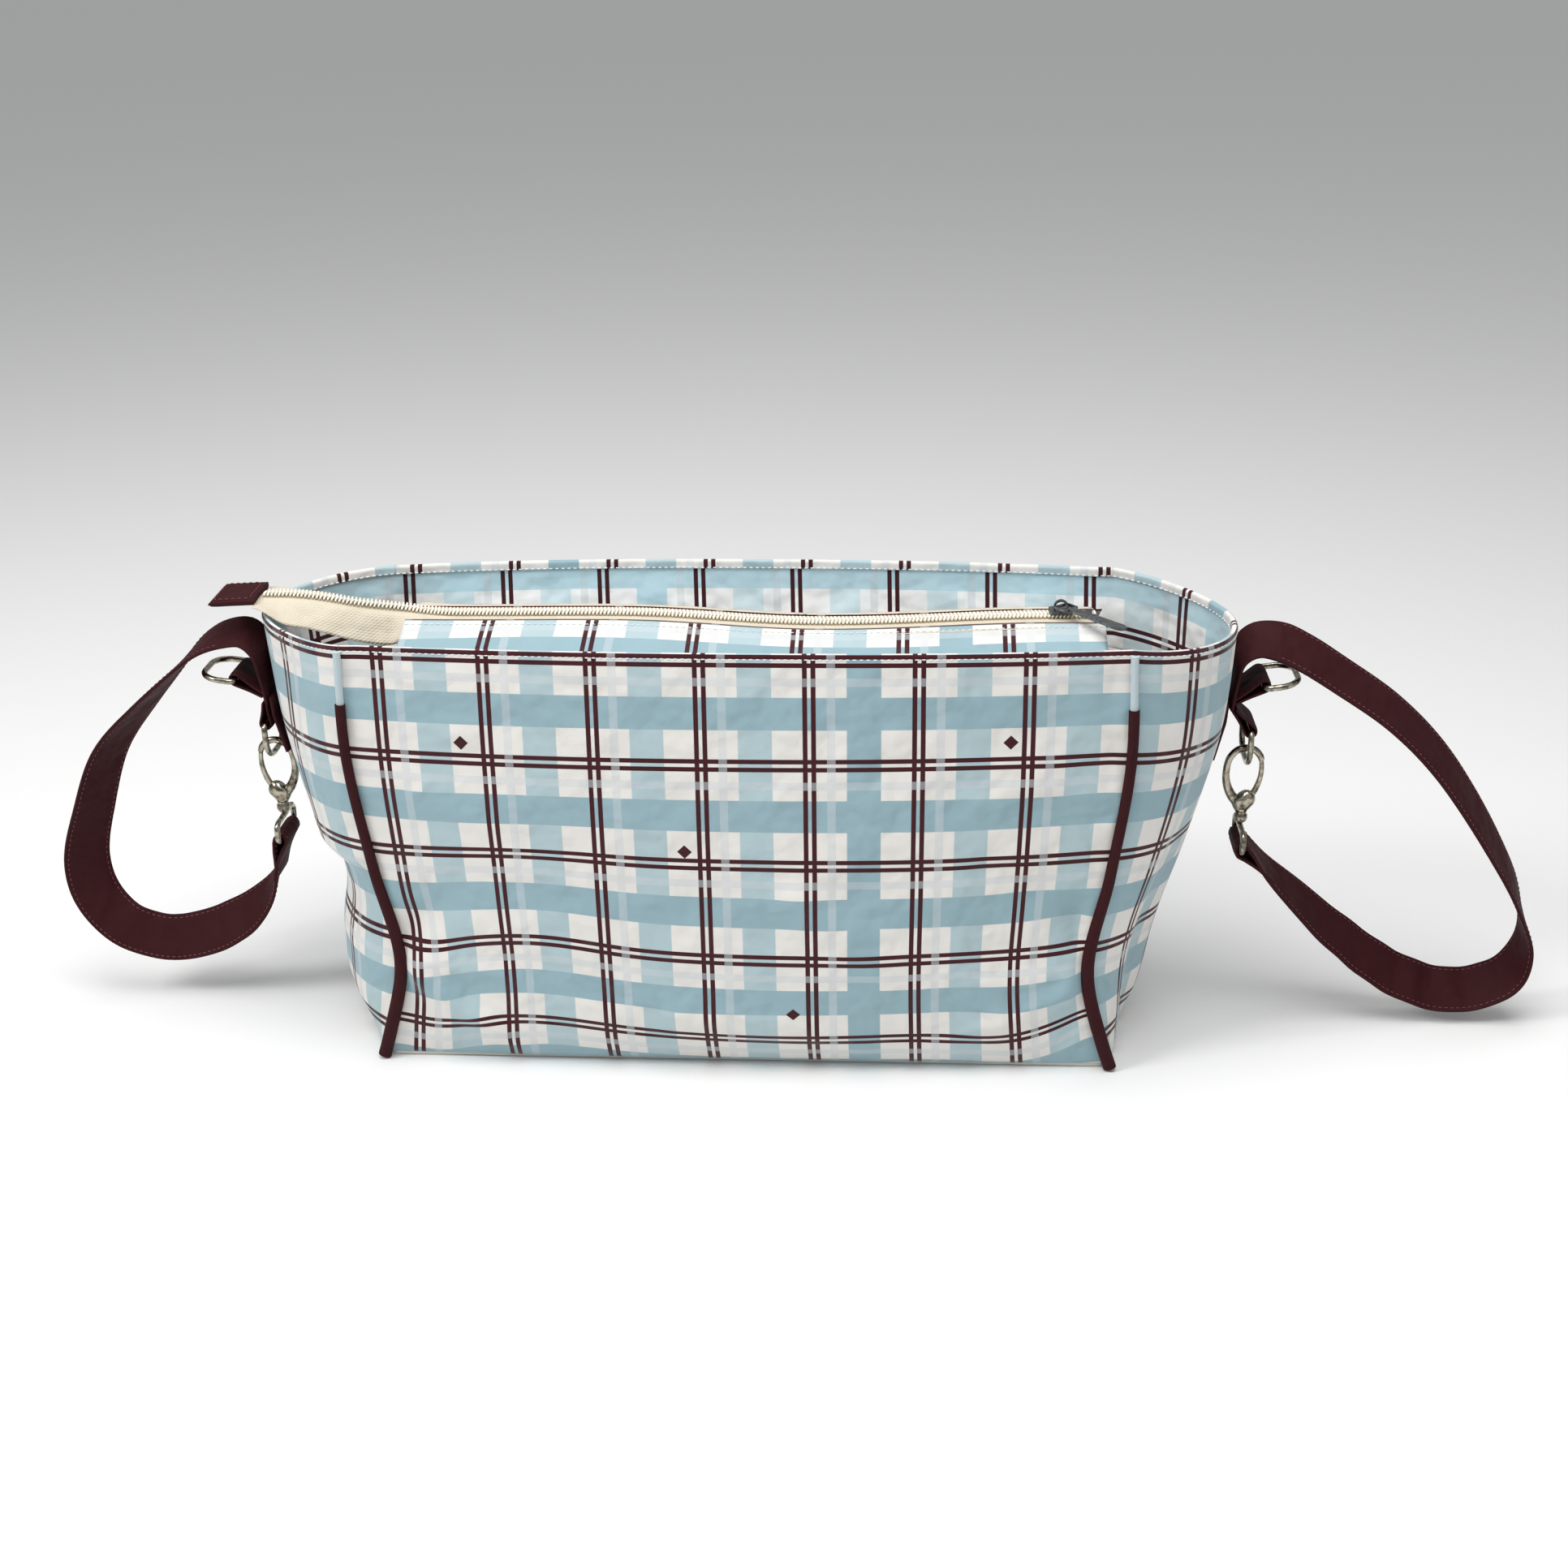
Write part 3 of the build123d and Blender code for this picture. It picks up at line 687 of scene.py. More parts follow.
@dataclass
class BagForm:
    """The bag's outer surface, worked out from a few widths at six heights."""

    height: float = 226 * MM
    key_z: tuple = (0.0, 16.0, 52.0, 110.0, 170.0, 226.0)
    seam_x: tuple = (186.0, 181.0, 172.5, 181.0, 188.0, 187.0)
    seam_y: tuple = (58.0, 59.3, 59.0, 60.0, 61.5, 62.0)
    tip_x: dict = field(
        default_factory=lambda: {
            1: (193.0, 198.0, 206.0, 223.0, 237.0, 241.0),
            -1: (199.0, 209.0, 213.0, 222.0, 237.0, 242.0),
        }
    )
    front_bulge: tuple = (1.0, 9.0, 16.0, 17.0, 11.5, 7.0)
    back_bulge: tuple = (1.0, 7.0, 12.0, 14.0, 12.0, 11.0)
    cloth: float = 1.0 * MM
    rim_radius: float = 1.5 * MM
    hem_depth: float = 3.2 * MM
    tip_drop: float = 4.5 * MM
    # how much the side walls' front and back quarters stand out near the rim
    fullness: dict = field(default_factory=lambda: {1: (2.6, -4.0), -1: (-9.0, 4.5)})

    def at(self, values: tuple, z: Array) -> Array:
        """A width at height z: a cubic through the keys with mean slopes at each."""
        keys, v = np.array(self.key_z) * MM, np.array(values) * MM
        slope = np.gradient(v, keys)
        n = np.clip(np.searchsorted(keys, z, side="right") - 1, 0, len(keys) - 2)
        gap = keys[n + 1] - keys[n]
        t = np.clip((z - keys[n]) / gap, 0, 1)
        return (
            v[n] * (1 + 2 * t) * (1 - t) ** 2
            + v[n + 1] * t * t * (3 - 2 * t)
            + gap * (slope[n] * t * (1 - t) ** 2 - slope[n + 1] * t * t * (1 - t))
        )

    def front_folds(self, x: Array, z: Array) -> Array:
        """How far the front cloth stands out or in: slack waves, and creases from the corners.

        Waves are slow sines; each crease is a Gaussian ridge that fades along a short line.
        """
        d = 1.3 * np.sin(x / 0.047 + 0.6) * step(z, 0.0, 0.05) * step(-z, -0.215, -0.12)
        d += 1.0 * np.sin(x / 0.081 - z / 0.035 + 1.1) * step(z, 0.01, 0.06)
        d += 0.7 * np.sin(z / 0.021 + x / 0.11) * step(-z, -0.2, -0.1)
        for x0, z0, x1, z1, tall, wide in CREASES:
            run = np.array([x1 - x0, z1 - z0])
            length = np.hypot(*run)
            along = ((x - x0) * run[0] + (z - z0) * run[1]) / length**2
            nearest = np.clip(along, 0, 1)
            off = np.hypot(x - x0 - nearest * run[0], z - z0 - nearest * run[1])
            fade = 1 - 0.75 * nearest
            d += CREASE_RISE * tall * fade * np.exp(-((off / wide) ** 2))
        return d * MM * step(z, 0.0, 0.012)

    def slack(self, x: Array, z: Array) -> Array:
        """How far the front cloth's rows ride up, in mm, where it is gathered near the base.

        Each term is a Gaussian swell across the wall, times a smooth step down its height.
        """
        ride = np.zeros(np.broadcast_shapes(x.shape, z.shape))
        for rise, place, wide, upper, lower in SWELLS:
            ride = ride + rise * np.exp(-(((x - place) / wide) ** 2)) * step(-z, -upper, -lower)
        return ride

    def long_wall(self, facing: int, u: Array, z: Array, inset: Array | float) -> Array:
        """Points on the front (-1) or back (+1) wall.

        Args:
            facing: which wall.
            u: -1 to 1 from the left seam to the right seam.
            z: height in metres.
            inset: distance in from the outer face.
        """
        x = u * (self.at(self.seam_x, z) - 0.2 * MM)
        bulge = self.at(self.front_bulge if facing < 0 else self.back_bulge, z)
        crown = 1 - np.abs(u) ** 2.6
        y = self.at(self.seam_y, z) + bulge * crown
        folds = self.front_folds(x if facing < 0 else -x, z)
        y = y + folds * step(1 - np.abs(u), 0.0, 0.06) - inset
        return columns(x, facing * y, z)

    def side_wall(self, sign: int, w: Array, z: Array, inset: Array | float) -> Array:
        """Points on the left (-1) or right (+1) side wall, an arc in plan with folds.

        Args:
            sign: which side.
            w: -1 at the front seam to 1 at the back seam.
            z: height before the tip's drop.
            inset: distance in from the outer face.
        """
        x, y, tip = (self.at(v, z) for v in (self.seam_x, self.seam_y, self.tip_x[sign]))
        radius = (y * y + (tip - x) ** 2) / (2 * (tip - x))
        centre = tip - radius
        half = np.arctan2(y, x - centre)
        turn = w * half
        front, back = self.fullness[sign]
        top = step(z, 0.1, 0.22)
        shelf = -7.5 * step(z, 0.05, 0.088) * step(-z, -0.113, -0.096) * (sign < 0)
        quarter = np.sin(math.pi * np.abs(w))
        full = quarter * np.where(w < 0, front, back) * top * MM
        # two long folds that deepen towards the base, as the gusset tucks in
        low = step(-z, -0.15, -0.05) * step(z, 0.0, 0.02)
        tuck = shelf - 5.0 * np.exp(-(((w + 0.42 * sign) / 0.16) ** 2)) * low
        tuck += 3.0 * np.exp(-(((w + 0.02) / 0.2) ** 2)) * low
        tuck += -3.2 * np.exp(-(((w - 0.5) / 0.15) ** 2)) * low
        wave = 0.8 * np.sin(z / 0.016 + 2 * w) * low
        edge = step(1 - np.abs(w), 0.0, 0.1)
        out = radius - inset + full + (tuck + wave) * MM * edge
        drop = self.tip_drop * (1 - w * w) * z / self.height
        return columns(sign * (centre + out * np.cos(turn)), out * np.sin(turn), z - drop)

    def hemmed(self, depth: float) -> tuple[Array, Array, Array]:
        """Heights, insets and cloth lengths of a wall that turns over the rim.

        The profile starts on the base, rounds the bottom edge, climbs the wall, goes
        over the rim in a half circle and comes down inside by depth.

        Returns:
            z, inset and the length along the cloth, measured from the rim's top down.
        """
        foot = 5 * MM
        angle = np.linspace(math.pi / 2, 0, 7)
        toe_z, toe_in = foot * (1 - np.sin(angle)), foot * (1 - np.cos(angle))
        rise = np.linspace(foot, self.height - self.rim_radius, 110)[1:]
        over = np.linspace(0, math.pi, 9)[1:]
        top = self.height - self.rim_radius
        cap_z = top + self.rim_radius * np.sin(over)
        cap_in = self.rim_radius * (1 - np.cos(over))
        down = np.linspace(0, depth, 5)[1:]
        z = np.concatenate([toe_z, rise, cap_z, top - down])
        inset = np.concatenate(
            [toe_in, np.zeros_like(rise), cap_in, np.full(4, 2 * self.rim_radius)]
        )
        lengths = np.concatenate([[0], np.cumsum(np.hypot(np.diff(z), np.diff(inset)))])
        crown = len(toe_z) + len(rise) + 3
        return z, inset, (lengths[crown] - lengths) / MM


@dataclass
class Shell:
    """The plaid walls, their facing, piping and top stitching."""

    form: BagForm
    front_phase: float = -14.6
    back_phase: float = 22.8
    pair_depth: float = 4.0  # a burgundy pair runs this far under the rim, in mm
    facing_pair_depth: float = 33.5
    facing_depth: float = 44 * MM

    def build(self) -> None:
        """Makes every piece of the shell."""
        self.long_wall("front_wall", -1, self.front_phase, "front_panel")
        self.long_wall("back_wall", 1, self.back_phase, "back_panel")
        for side, sign, first in (("left", -1, 48.0), ("right", 1, 31.0)):
            self.side_wall(f"{side}_side_wall", sign, first, f"{side}_gusset")
        self.rim_facing()
        self.lining()
        for side, sign in (("left", -1), ("right", 1)):
            for end, facing in (("front", -1), ("back", 1)):
                self.piping(f"{side}_{end}", sign, facing)
        self.rim_stitching()
        self.base()

    def long_wall(self, name: str, facing: int, phase: float, node: str) -> None:
        """The front or back wall, from under the base to its hem inside the rim."""
        z, inset, length = self.form.hemmed(self.form.hem_depth)
        u = np.linspace(-1, 1, 241)[None, :]
        points = self.form.long_wall(facing, u, z[:, None], inset[:, None])
        half = self.form.at(self.form.seam_x, z)[:, None] / MM
        # the cloth is cut straight, and only its edges are gathered in at the waist
        gathered = 0.5 * (self.form.seam_x[-1] - half) * np.sign(u) * np.abs(u) ** 3
        rucked = 5.0 * (1 - step(z, 16 * MM, 68 * MM))[:, None] * (1 + 0.5 * u**4)
        across = (u * half + gathered) * -facing - phase
        across = across + UNPRINTED * (facing > 0)
        sag = self.form.slack(u * self.form.at(self.form.seam_x, z)[:, None], z[:, None])
        down = length[:, None] - self.pair_depth + rucked + sag * (facing < 0)
        uv = columns(across, down)
        piece = sheet(name, points, uv, Finish.PLAID, self.form.cloth, flip=facing > 0)
        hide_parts(node)
        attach(piece, "root")

    def side_wall(self, name: str, sign: int, first: float, node: str) -> None:
        """A side wall; first is how far its first burgundy pair is from the front seam."""
        z, inset, length = self.form.hemmed(self.form.hem_depth)
        w = np.linspace(-1, 1, 121)[None, :]
        points = self.form.side_wall(sign, w, z[:, None], inset[:, None])
        rim = self.form.side_wall(sign, w[0], np.full(121, self.form.height), 0.0)
        across = sign * (reach_along(rim)[None, :] / MM - first) + UNPRINTED
        uv = columns(across, length[:, None] - self.pair_depth)
        piece = sheet(name, points, uv, Finish.PLAID, self.form.cloth, flip=sign < 0)
        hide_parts(node)
        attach(piece, "root")

    def ring(self, z: Array, inset: Array) -> tuple[Array, Array]:
        """A closed ring of wall points: front, right, back, left.

        Args:
            z: (n,) heights.
            inset: (n,) distances in from the outer faces.

        Returns:
            (n, m, 3) points and (m,) lengths round the rim in mm.
        """
        z, inset = z[:, None], inset[:, None]
        across = np.linspace(-1, 1, 121)[None, :-1]
        around = np.linspace(-1, 1, 61)[None, :-1]
        parts = [
            self.form.long_wall(-1, across, z, inset),
            self.form.side_wall(1, around, z, inset),
            self.form.long_wall(1, -across, z, inset),
            self.form.side_wall(-1, -around, z, inset),
        ]
        points = np.concatenate(parts, 1)
        points = np.concatenate([points, points[:, :1]], 1)
        return points, reach_along(points[-1]) / MM

    def rim_facing(self) -> None:
        """The plaid strip sewn inside the rim."""
        top = self.form.height - self.form.rim_radius
        z = np.linspace(top, self.form.height - self.facing_depth, 24)
        inset = np.full(24, 2.1 * MM)
        inset[-3:] += np.array([0.2, 0.5, 0.8]) * MM
        points, around = self.ring(z, inset)
        x = points[0, :, 0] / MM
        on_back = points[0, :, 1] > 0
        middle = around[np.argmin(np.abs(x) + 1000 * ~on_back)]
        u = around - middle + self.back_phase + UNPRINTED
        v = (self.form.height - z) / MM - self.facing_pair_depth
        uv = columns(u[None, :], v[:, None])
        # its plaid is lightened all over: painted light, not a paler cloth
        piece = sheet("rim_facing_cloth", points, uv, Finish.FACING_PLAID, 0.8 * MM)
        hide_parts("rim_facing")
        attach(piece, "root")

    def lining(self) -> None:
        """The loose inner bag: walls with slack waves, and a floor."""
        z = np.linspace(self.form.height - self.facing_depth + 1 * MM, 6 * MM, 60)
        points, around = self.ring(z, np.full(60, 3.6 * MM))
        slack = 0.9 * MM * (1 + np.sin(around / 13.0)[None, :] * np.sin(z / 0.03)[:, None])
        inward = points * np.array([1, 1, 0])
        inward /= np.linalg.norm(inward, axis=-1, keepdims=True)
        points = points - inward * slack[..., None]
        shrink = np.linspace(1, 0.02, 12)[1:, None, None]
        floor = points[-1][None] * np.concatenate(
            [np.broadcast_to(shrink, (11, 1, 2)), np.ones((11, 1, 1))], -1
        )
        points = np.concatenate([points, floor])
        down = np.concatenate([z / MM, -np.arange(1, 12) * 15.0])
        uv = columns(around[None, :], down[:, None])
        piece = sheet("lining_bag", points, uv, Finish.LINING, 0.6 * MM)
        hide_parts("lining")
        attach(piece, "root")

    def piping(self, corner: str, sign: int, facing: int) -> None:
        """A burgundy cord down a corner seam, and the plaid strip above it."""
        z = np.linspace(1.2 * MM, 197 * MM, 90)
        name = f"{corner}_piping_cord"
        cord = self.seam_tube(name, sign, facing, z, 2.6 * MM, Finish.BURGUNDY)
        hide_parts(f"{corner}_piping")
        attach(cord, "root")
        z = np.linspace(194 * MM, 223.6 * MM, 14)
        strip = self.seam_tube(f"{corner}_seam_strip", sign, facing, z, 1.9 * MM, Finish.PLAID)
        # the strip is cut from inside one blue block of the print
        layer = strip.data.uv_layers[0]
        corners = np.empty(len(layer.data) * 2, np.float32)
        layer.data.foreach_get("uv", corners)
        cut = corners.reshape(-1, 2) * np.array([0.25, 0.0]) + np.array([23.5, 12.0])
        layer.data.foreach_set("uv", cut.astype(np.float32).ravel())
        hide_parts(f"{corner}_seam_cover")
        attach(strip, "root")

    def seam_tube(
        self, name: str, sign: int, facing: int, z: Array, radius: float, finish: Finish
    ) -> Any:
        """A slightly flattened cord on a corner seam, which swells towards the base.

        Args:
            name: the piece's name.
            sign: which side.
            facing: front (-1) or back (+1).
            z: heights of its stations.
            radius: the cord's radius at the top.
            finish: what it is made of.
        """
        x = self.form.at(self.form.seam_x, z)
        y = self.form.at(self.form.seam_y, z) + 0.75 * radius
        path = np.stack([sign * x, facing * y, z], -1)
        across, up = frames(path, np.array([1.0, 0.0, 0.0]))
        swell = 1 + 0.3 * (1 - step(z, 0.02, 0.15))
        profile = round_profile(radius, 14) * np.array([1.0, 0.8]) * swell[:, None, None]
        return tube(name, path, across, up, profile, finish)

    def rim_stitching(self) -> None:
        """Top stitching round the rim, outside and inside."""
        for name, inset, out in (
            ("rim_stitching_outside", 0.0, 1.0),
            ("rim_stitching_inside", 2 * self.form.rim_radius, -1.0),
        ):
            height = self.form.height - (2.4 if out > 0 else 4.2) * MM
            points, _ = self.ring(np.array([height, height]), np.array([inset, inset]))
            path = points[0]
            # outwards is square to the long walls, and round a centre at each end
            ends = np.abs(path[:, 0]) > 0.19
            centre = np.where(ends, np.sign(path[:, 0]) * 0.178, path[:, 0])
            normal = path - np.stack([centre, np.zeros(len(path)), path[:, 2]], -1)
            normal /= np.linalg.norm(normal, axis=1, keepdims=True)
            piece = stitches(name, path, out * normal, Finish.THREAD, radius=0.3 * MM)
            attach(piece, "root")

    def base(self) -> None:
        """Dresses the base cloth and board, which keep their CAD shape."""
        for node, finish in (("base_panel", Finish.LINING), ("base_board", Finish.BOARD)):
            dress_node(node, finish)


def dress_node(node: str, finish: Finish) -> None:
    """Gives a CAD node, whose shape is kept, its finish."""
    materials = bpy.data.objects[node].data.materials
    materials.clear()
    materials.append(finish.material())


# ---- the zip ------------------------------------------------------------------------------


@dataclass
class ZipTop:
    """The recessed zip: plackets, tapes, coils, end tab and its slider."""

    form: BagForm
    line_y: float = 6.0 * MM
    tape_z: float = 218.4 * MM
    right: float = 173 * MM
    left: float = -243 * MM
    slider_rest: float = 157 * MM
    slider_open: float = -143 * MM
    placket_left: float = -168 * MM
    placket_right: float = 178 * MM
    placket_phase: float = 28.5  # where its first burgundy pair is, in mm

    def centre(self, x: Array) -> Array:
        """The coils' line: straight where the slider stops, slack between, up at the left."""
        span = (x - self.slider_open) / (self.slider_rest - self.slider_open)
        inside = (span > 0) & (span < 1)
        t = np.clip(span, 0, 1)
        arch = np.sin(math.pi * t)
        weave = 4.5 * MM * np.sin(2 * math.pi * t) * arch
        sway = weave - 6.0 * MM * arch**2 * step(t, 0.25, 0.6)
        free = step(-x, -self.slider_open, 0.2)
        y = self.line_y + np.where(inside, sway, 0.0) + 4 * MM * np.sin(math.pi * free)
        sag = np.where(inside, -1.2 * MM * arch**2, 0.0)
        z = self.tape_z + sag + 9.6 * MM * step(-x, 0.155, 0.232)
        return np.stack([x, y, z], -1)

    def build(self) -> None:
        """Makes every piece of the zip."""
        for name, facing in (("front", -1), ("back", 1)):
            self.tape(name, facing)
            self.coil(name, facing)
            self.placket(name, facing)
        self.end_tab()
        for node in ("zip_slider", "zip_puller", "zip_stops"):
            dress_node(node, Finish.GUNMETAL)

    def tape(self, name: str, facing: int) -> None:
        """One half of the tape; its front half droops and flares past the placket."""
        x = np.linspace(self.right, self.left, 220)
        out = np.linspace(0.0, 1.0, 14)
        line = self.centre(x)
        free = step(-x, 0.160, 0.178)
        loose = free * (1 - step(-x, 0.225, 0.243))
        flare, fall_angle = (5, 58) if facing < 0 else (2, 22)
        wide = (16 + flare * loose) * MM
        droop = np.radians(2 + fall_angle * loose * (1 - 0.55 * step(-x, 0.18, 0.24)))
        bend = droop[:, None] * step(out, 0.0, 0.5)[None, :]
        run = np.diff(out, prepend=0.0)[None, :] * wide[:, None]
        reach = np.cumsum(run * np.cos(bend), 1)
        fall = np.cumsum(run * np.sin(bend), 1)
        ripple = 0.5 * MM * np.sin(x / 0.009)[:, None] * out[None, :] * free[:, None]
        y = line[:, 1, None] + facing * (0.3 * MM + reach)
        points = columns(x[:, None], y, line[:, 2, None] - fall + ripple)
        uv = columns(x[:, None] / MM, out[None, :] * wide[:, None] / MM)
        piece = sheet(f"{name}_tape_cloth", points, uv, Finish.TAPE, 0.6 * MM, flip=facing < 0)
        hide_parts(f"{name}_zip_tape")
        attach(piece, "root")

    def coil(self, name: str, facing: int) -> None:
        """A row of nylon teeth: a flattened helix along the tape's edge."""
        pitch = 1.9 * MM
        turns = int((self.right - self.left) / pitch)
        t = np.linspace(0, turns, turns * 10 + 1)
        x = self.right - t * pitch + (pitch / 2 if facing > 0 else 0.0)
        line = self.centre(np.clip(x, self.left, self.right))
        angle = 2 * math.pi * t
        y = line[:, 1] + facing * (1.75 * MM - 2.0 * MM * np.cos(angle))
        path = columns(x, y, line[:, 2] + 1.45 * MM + 0.8 * MM * np.sin(angle))
        across, up = frames(path, np.array([1.0, 0.0, 0.0]))
        wire = round_profile(0.55 * MM, 6)
        piece = tube(f"{name}_coil_teeth", path, across, up, wire, Finish.COIL)
        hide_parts(f"{name}_zip_coil")
        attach(piece, "root")

    def placket(self, name: str, facing: int) -> None:
        """The plaid strip from the facing in to the tape, lapped over its edge."""
        x = np.linspace(self.placket_left, self.placket_right, 180)
        t = np.linspace(0, 1, 26)
        line = self.centre(np.clip(x, self.slider_open, self.slider_rest))
        edge_y = line[:, 1] + facing * 10.5 * MM
        edge_z = line[:, 2] + (0.9 if facing < 0 else 0.5) * MM
        seam_at = np.array([0.2])
        half_wall = self.form.at(self.form.seam_y, seam_at)[0]
        bulges = self.form.front_bulge if facing < 0 else self.form.back_bulge
        bulge = self.form.at(bulges, seam_at)[0]
        wall_y = facing * (half_wall + bulge * (1 - np.abs(x / 0.188) ** 2.6) - 3.2 * MM)
        wall_z = (199 if facing < 0 else 190) * MM
        y = edge_y[:, None] + (wall_y - edge_y)[:, None] * t[None, :]
        z = edge_z[:, None] + (wall_z - edge_z)[:, None] * (t**1.15)[None, :]
        z = z + 0.7 * MM * np.sin(x / 0.024)[:, None] * np.sin(math.pi * t)[None, :]
        points = columns(x[:, None], y, z)
        depth = np.abs(wall_y - edge_y)[:, None] * t[None, :] / MM
        uv = columns(x[:, None] / MM - self.placket_phase + UNPRINTED, depth + 2.0)
        cloth = f"{name}_placket_cloth"
        piece = sheet(cloth, points, uv, Finish.PLAID, 0.9 * MM, flip=facing > 0)
        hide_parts(f"{name}_placket")
        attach(piece, "root")
        row = points[:, 2] + np.array([0, 0, 0.05 * MM])
        thread = stitches(f"{name}_placket_stitching", row, UPWARDS, Finish.THREAD)
        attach(thread, "root")

    def end_tab(self) -> None:
        """The burgundy patch folded over the tape's end."""
        low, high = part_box("zip_end_tab")
        high.x -= 4 * MM
        x = np.linspace(low.x, high.x, 16)
        half = (high.y - low.y) / 2 - 1.5 * MM
        thick = 1.75 * MM
        profile = superellipse(28, half, thick, 0.22, 0.5)
        t = (x - low.x) / (high.x - low.x)
        rounded = np.sqrt(np.clip(1 - (1 - np.clip(t * 8, 0, 1)) ** 2, 0.02, 1))
        profiles = profile[None] * np.stack([np.ones(16), rounded], -1)[:, None]
        middle, dip = (low.z + high.z) / 2, 1.2 * MM
        path = columns(x, self.line_y, middle - dip * (1 - t))
        tilt = math.radians(1)
        across = np.broadcast_to([0, math.cos(tilt), math.sin(tilt)], (16, 3))
        up = np.broadcast_to([0, -math.sin(tilt), math.cos(tilt)], (16, 3))
        piece = tube("zip_end_patch", path, across, up, profiles, Finish.BURGUNDY)
        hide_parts("zip_end_tab")
        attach(piece, "root")
        inner, left, right = half - 2.2 * MM, low.x + 2.5 * MM, high.x - 2.5 * MM
        corners = np.array([[right, -inner], [left, -inner], [left, inner], [right, inner]])
        square = np.concatenate([corners, corners[:1]])
        fine = np.concatenate(
            [np.linspace(a, b, 12, endpoint=False) for a, b in zip(square, square[1:])]
        )
        sunk = dip * (high.x - fine[:, 0]) / (high.x - low.x)
        row = columns(
            fine[:, 0],
            self.line_y + fine[:, 1] * math.cos(tilt),
            middle + thick + fine[:, 1] * math.sin(tilt) - sunk,
        )
        thread = stitches("zip_end_patch_stitching", row, UPWARDS, Finish.RED_THREAD)
        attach(thread, "root")


# ---- strap loops --------------------------------------------------------------------------

# Each strap's middle line: distance out from the bag's centre and height in mm, and its
# roll in degrees.
RIGHT_ROUTE = (
    (241.2, 176.0, 0), (242.2, 190.0, 4), (244.4, 202.0, 10), (252.0, 208.6, 22),
    (264.0, 208.0, 32), (276.0, 202.5, 33), (294.0, 191.0, 32), (323.0, 170.0, 31),
    (350.0, 143.0, 29), (379.0, 98.0, 22), (395.0, 68.0, 12), (401.0, 42.0, -8),
    (391.0, 23.0, -30), (365.0, 15.5, -42), (335.0, 25.0, -42), (306.0, 47.0, -34),
    (284.0, 68.0, -22), (266.0, 85.5, -8),
)
LEFT_ROUTE = (
    (241.2, 176.0, 0), (242.4, 190.0, 4), (244.6, 203.0, 10), (251.0, 210.0, 16),
    (262.0, 209.4, 16), (275.0, 203.5, 8), (291.0, 189.0, -6), (310.0, 169.0, -18),
    (332.0, 143.0, -30), (345.0, 111.0, -38), (353.0, 80.0, -48), (350.0, 60.0, -58),
    (337.0, 43.0, -66), (316.0, 35.5, -68), (296.0, 38.0, -62), (272.0, 49.0, -44),
    (257.0, 63.0, -24), (249.5, 78.0, -8),
)

# The clasp's cast parts: out from its middle, height and radius, in mm.
HOOK_BOW = (
    (-2.6, 122.0, 2.6), (-5.9, 126.6, 2.4), (-8.3, 133.0, 2.0), (-8.7, 139.6, 1.8),
    (-7.4, 146.0, 1.8), (-3.8, 150.4, 1.8), (0.6, 151.6, 1.8), (4.8, 150.4, 1.8),
    (7.5, 147.4, 1.7), (8.4, 145.2, 1.5),
)
HOOK_SHOULDER = (
    (0.0, 116.6, 2.6), (0.0, 118.6, 4.0), (0.2, 121.4, 5.6), (0.6, 124.2, 6.2),
    (0.2, 126.2, 4.6), (-0.4, 127.2, 2.4),
)
HOOK_BARREL = (
    (0.0, 111.6, 2.7), (0.0, 112.4, 3.3), (0.0, 115.2, 3.4), (0.0, 116.2, 2.7),
    (0.0, 117.2, 3.0),
)
GATE_ARM = (
    (4.2, 125.0, 1.5), (6.6, 129.6, 1.5), (8.3, 135.4, 1.35), (8.7, 140.4, 1.25),
    (8.4, 144.6, 1.15),
)


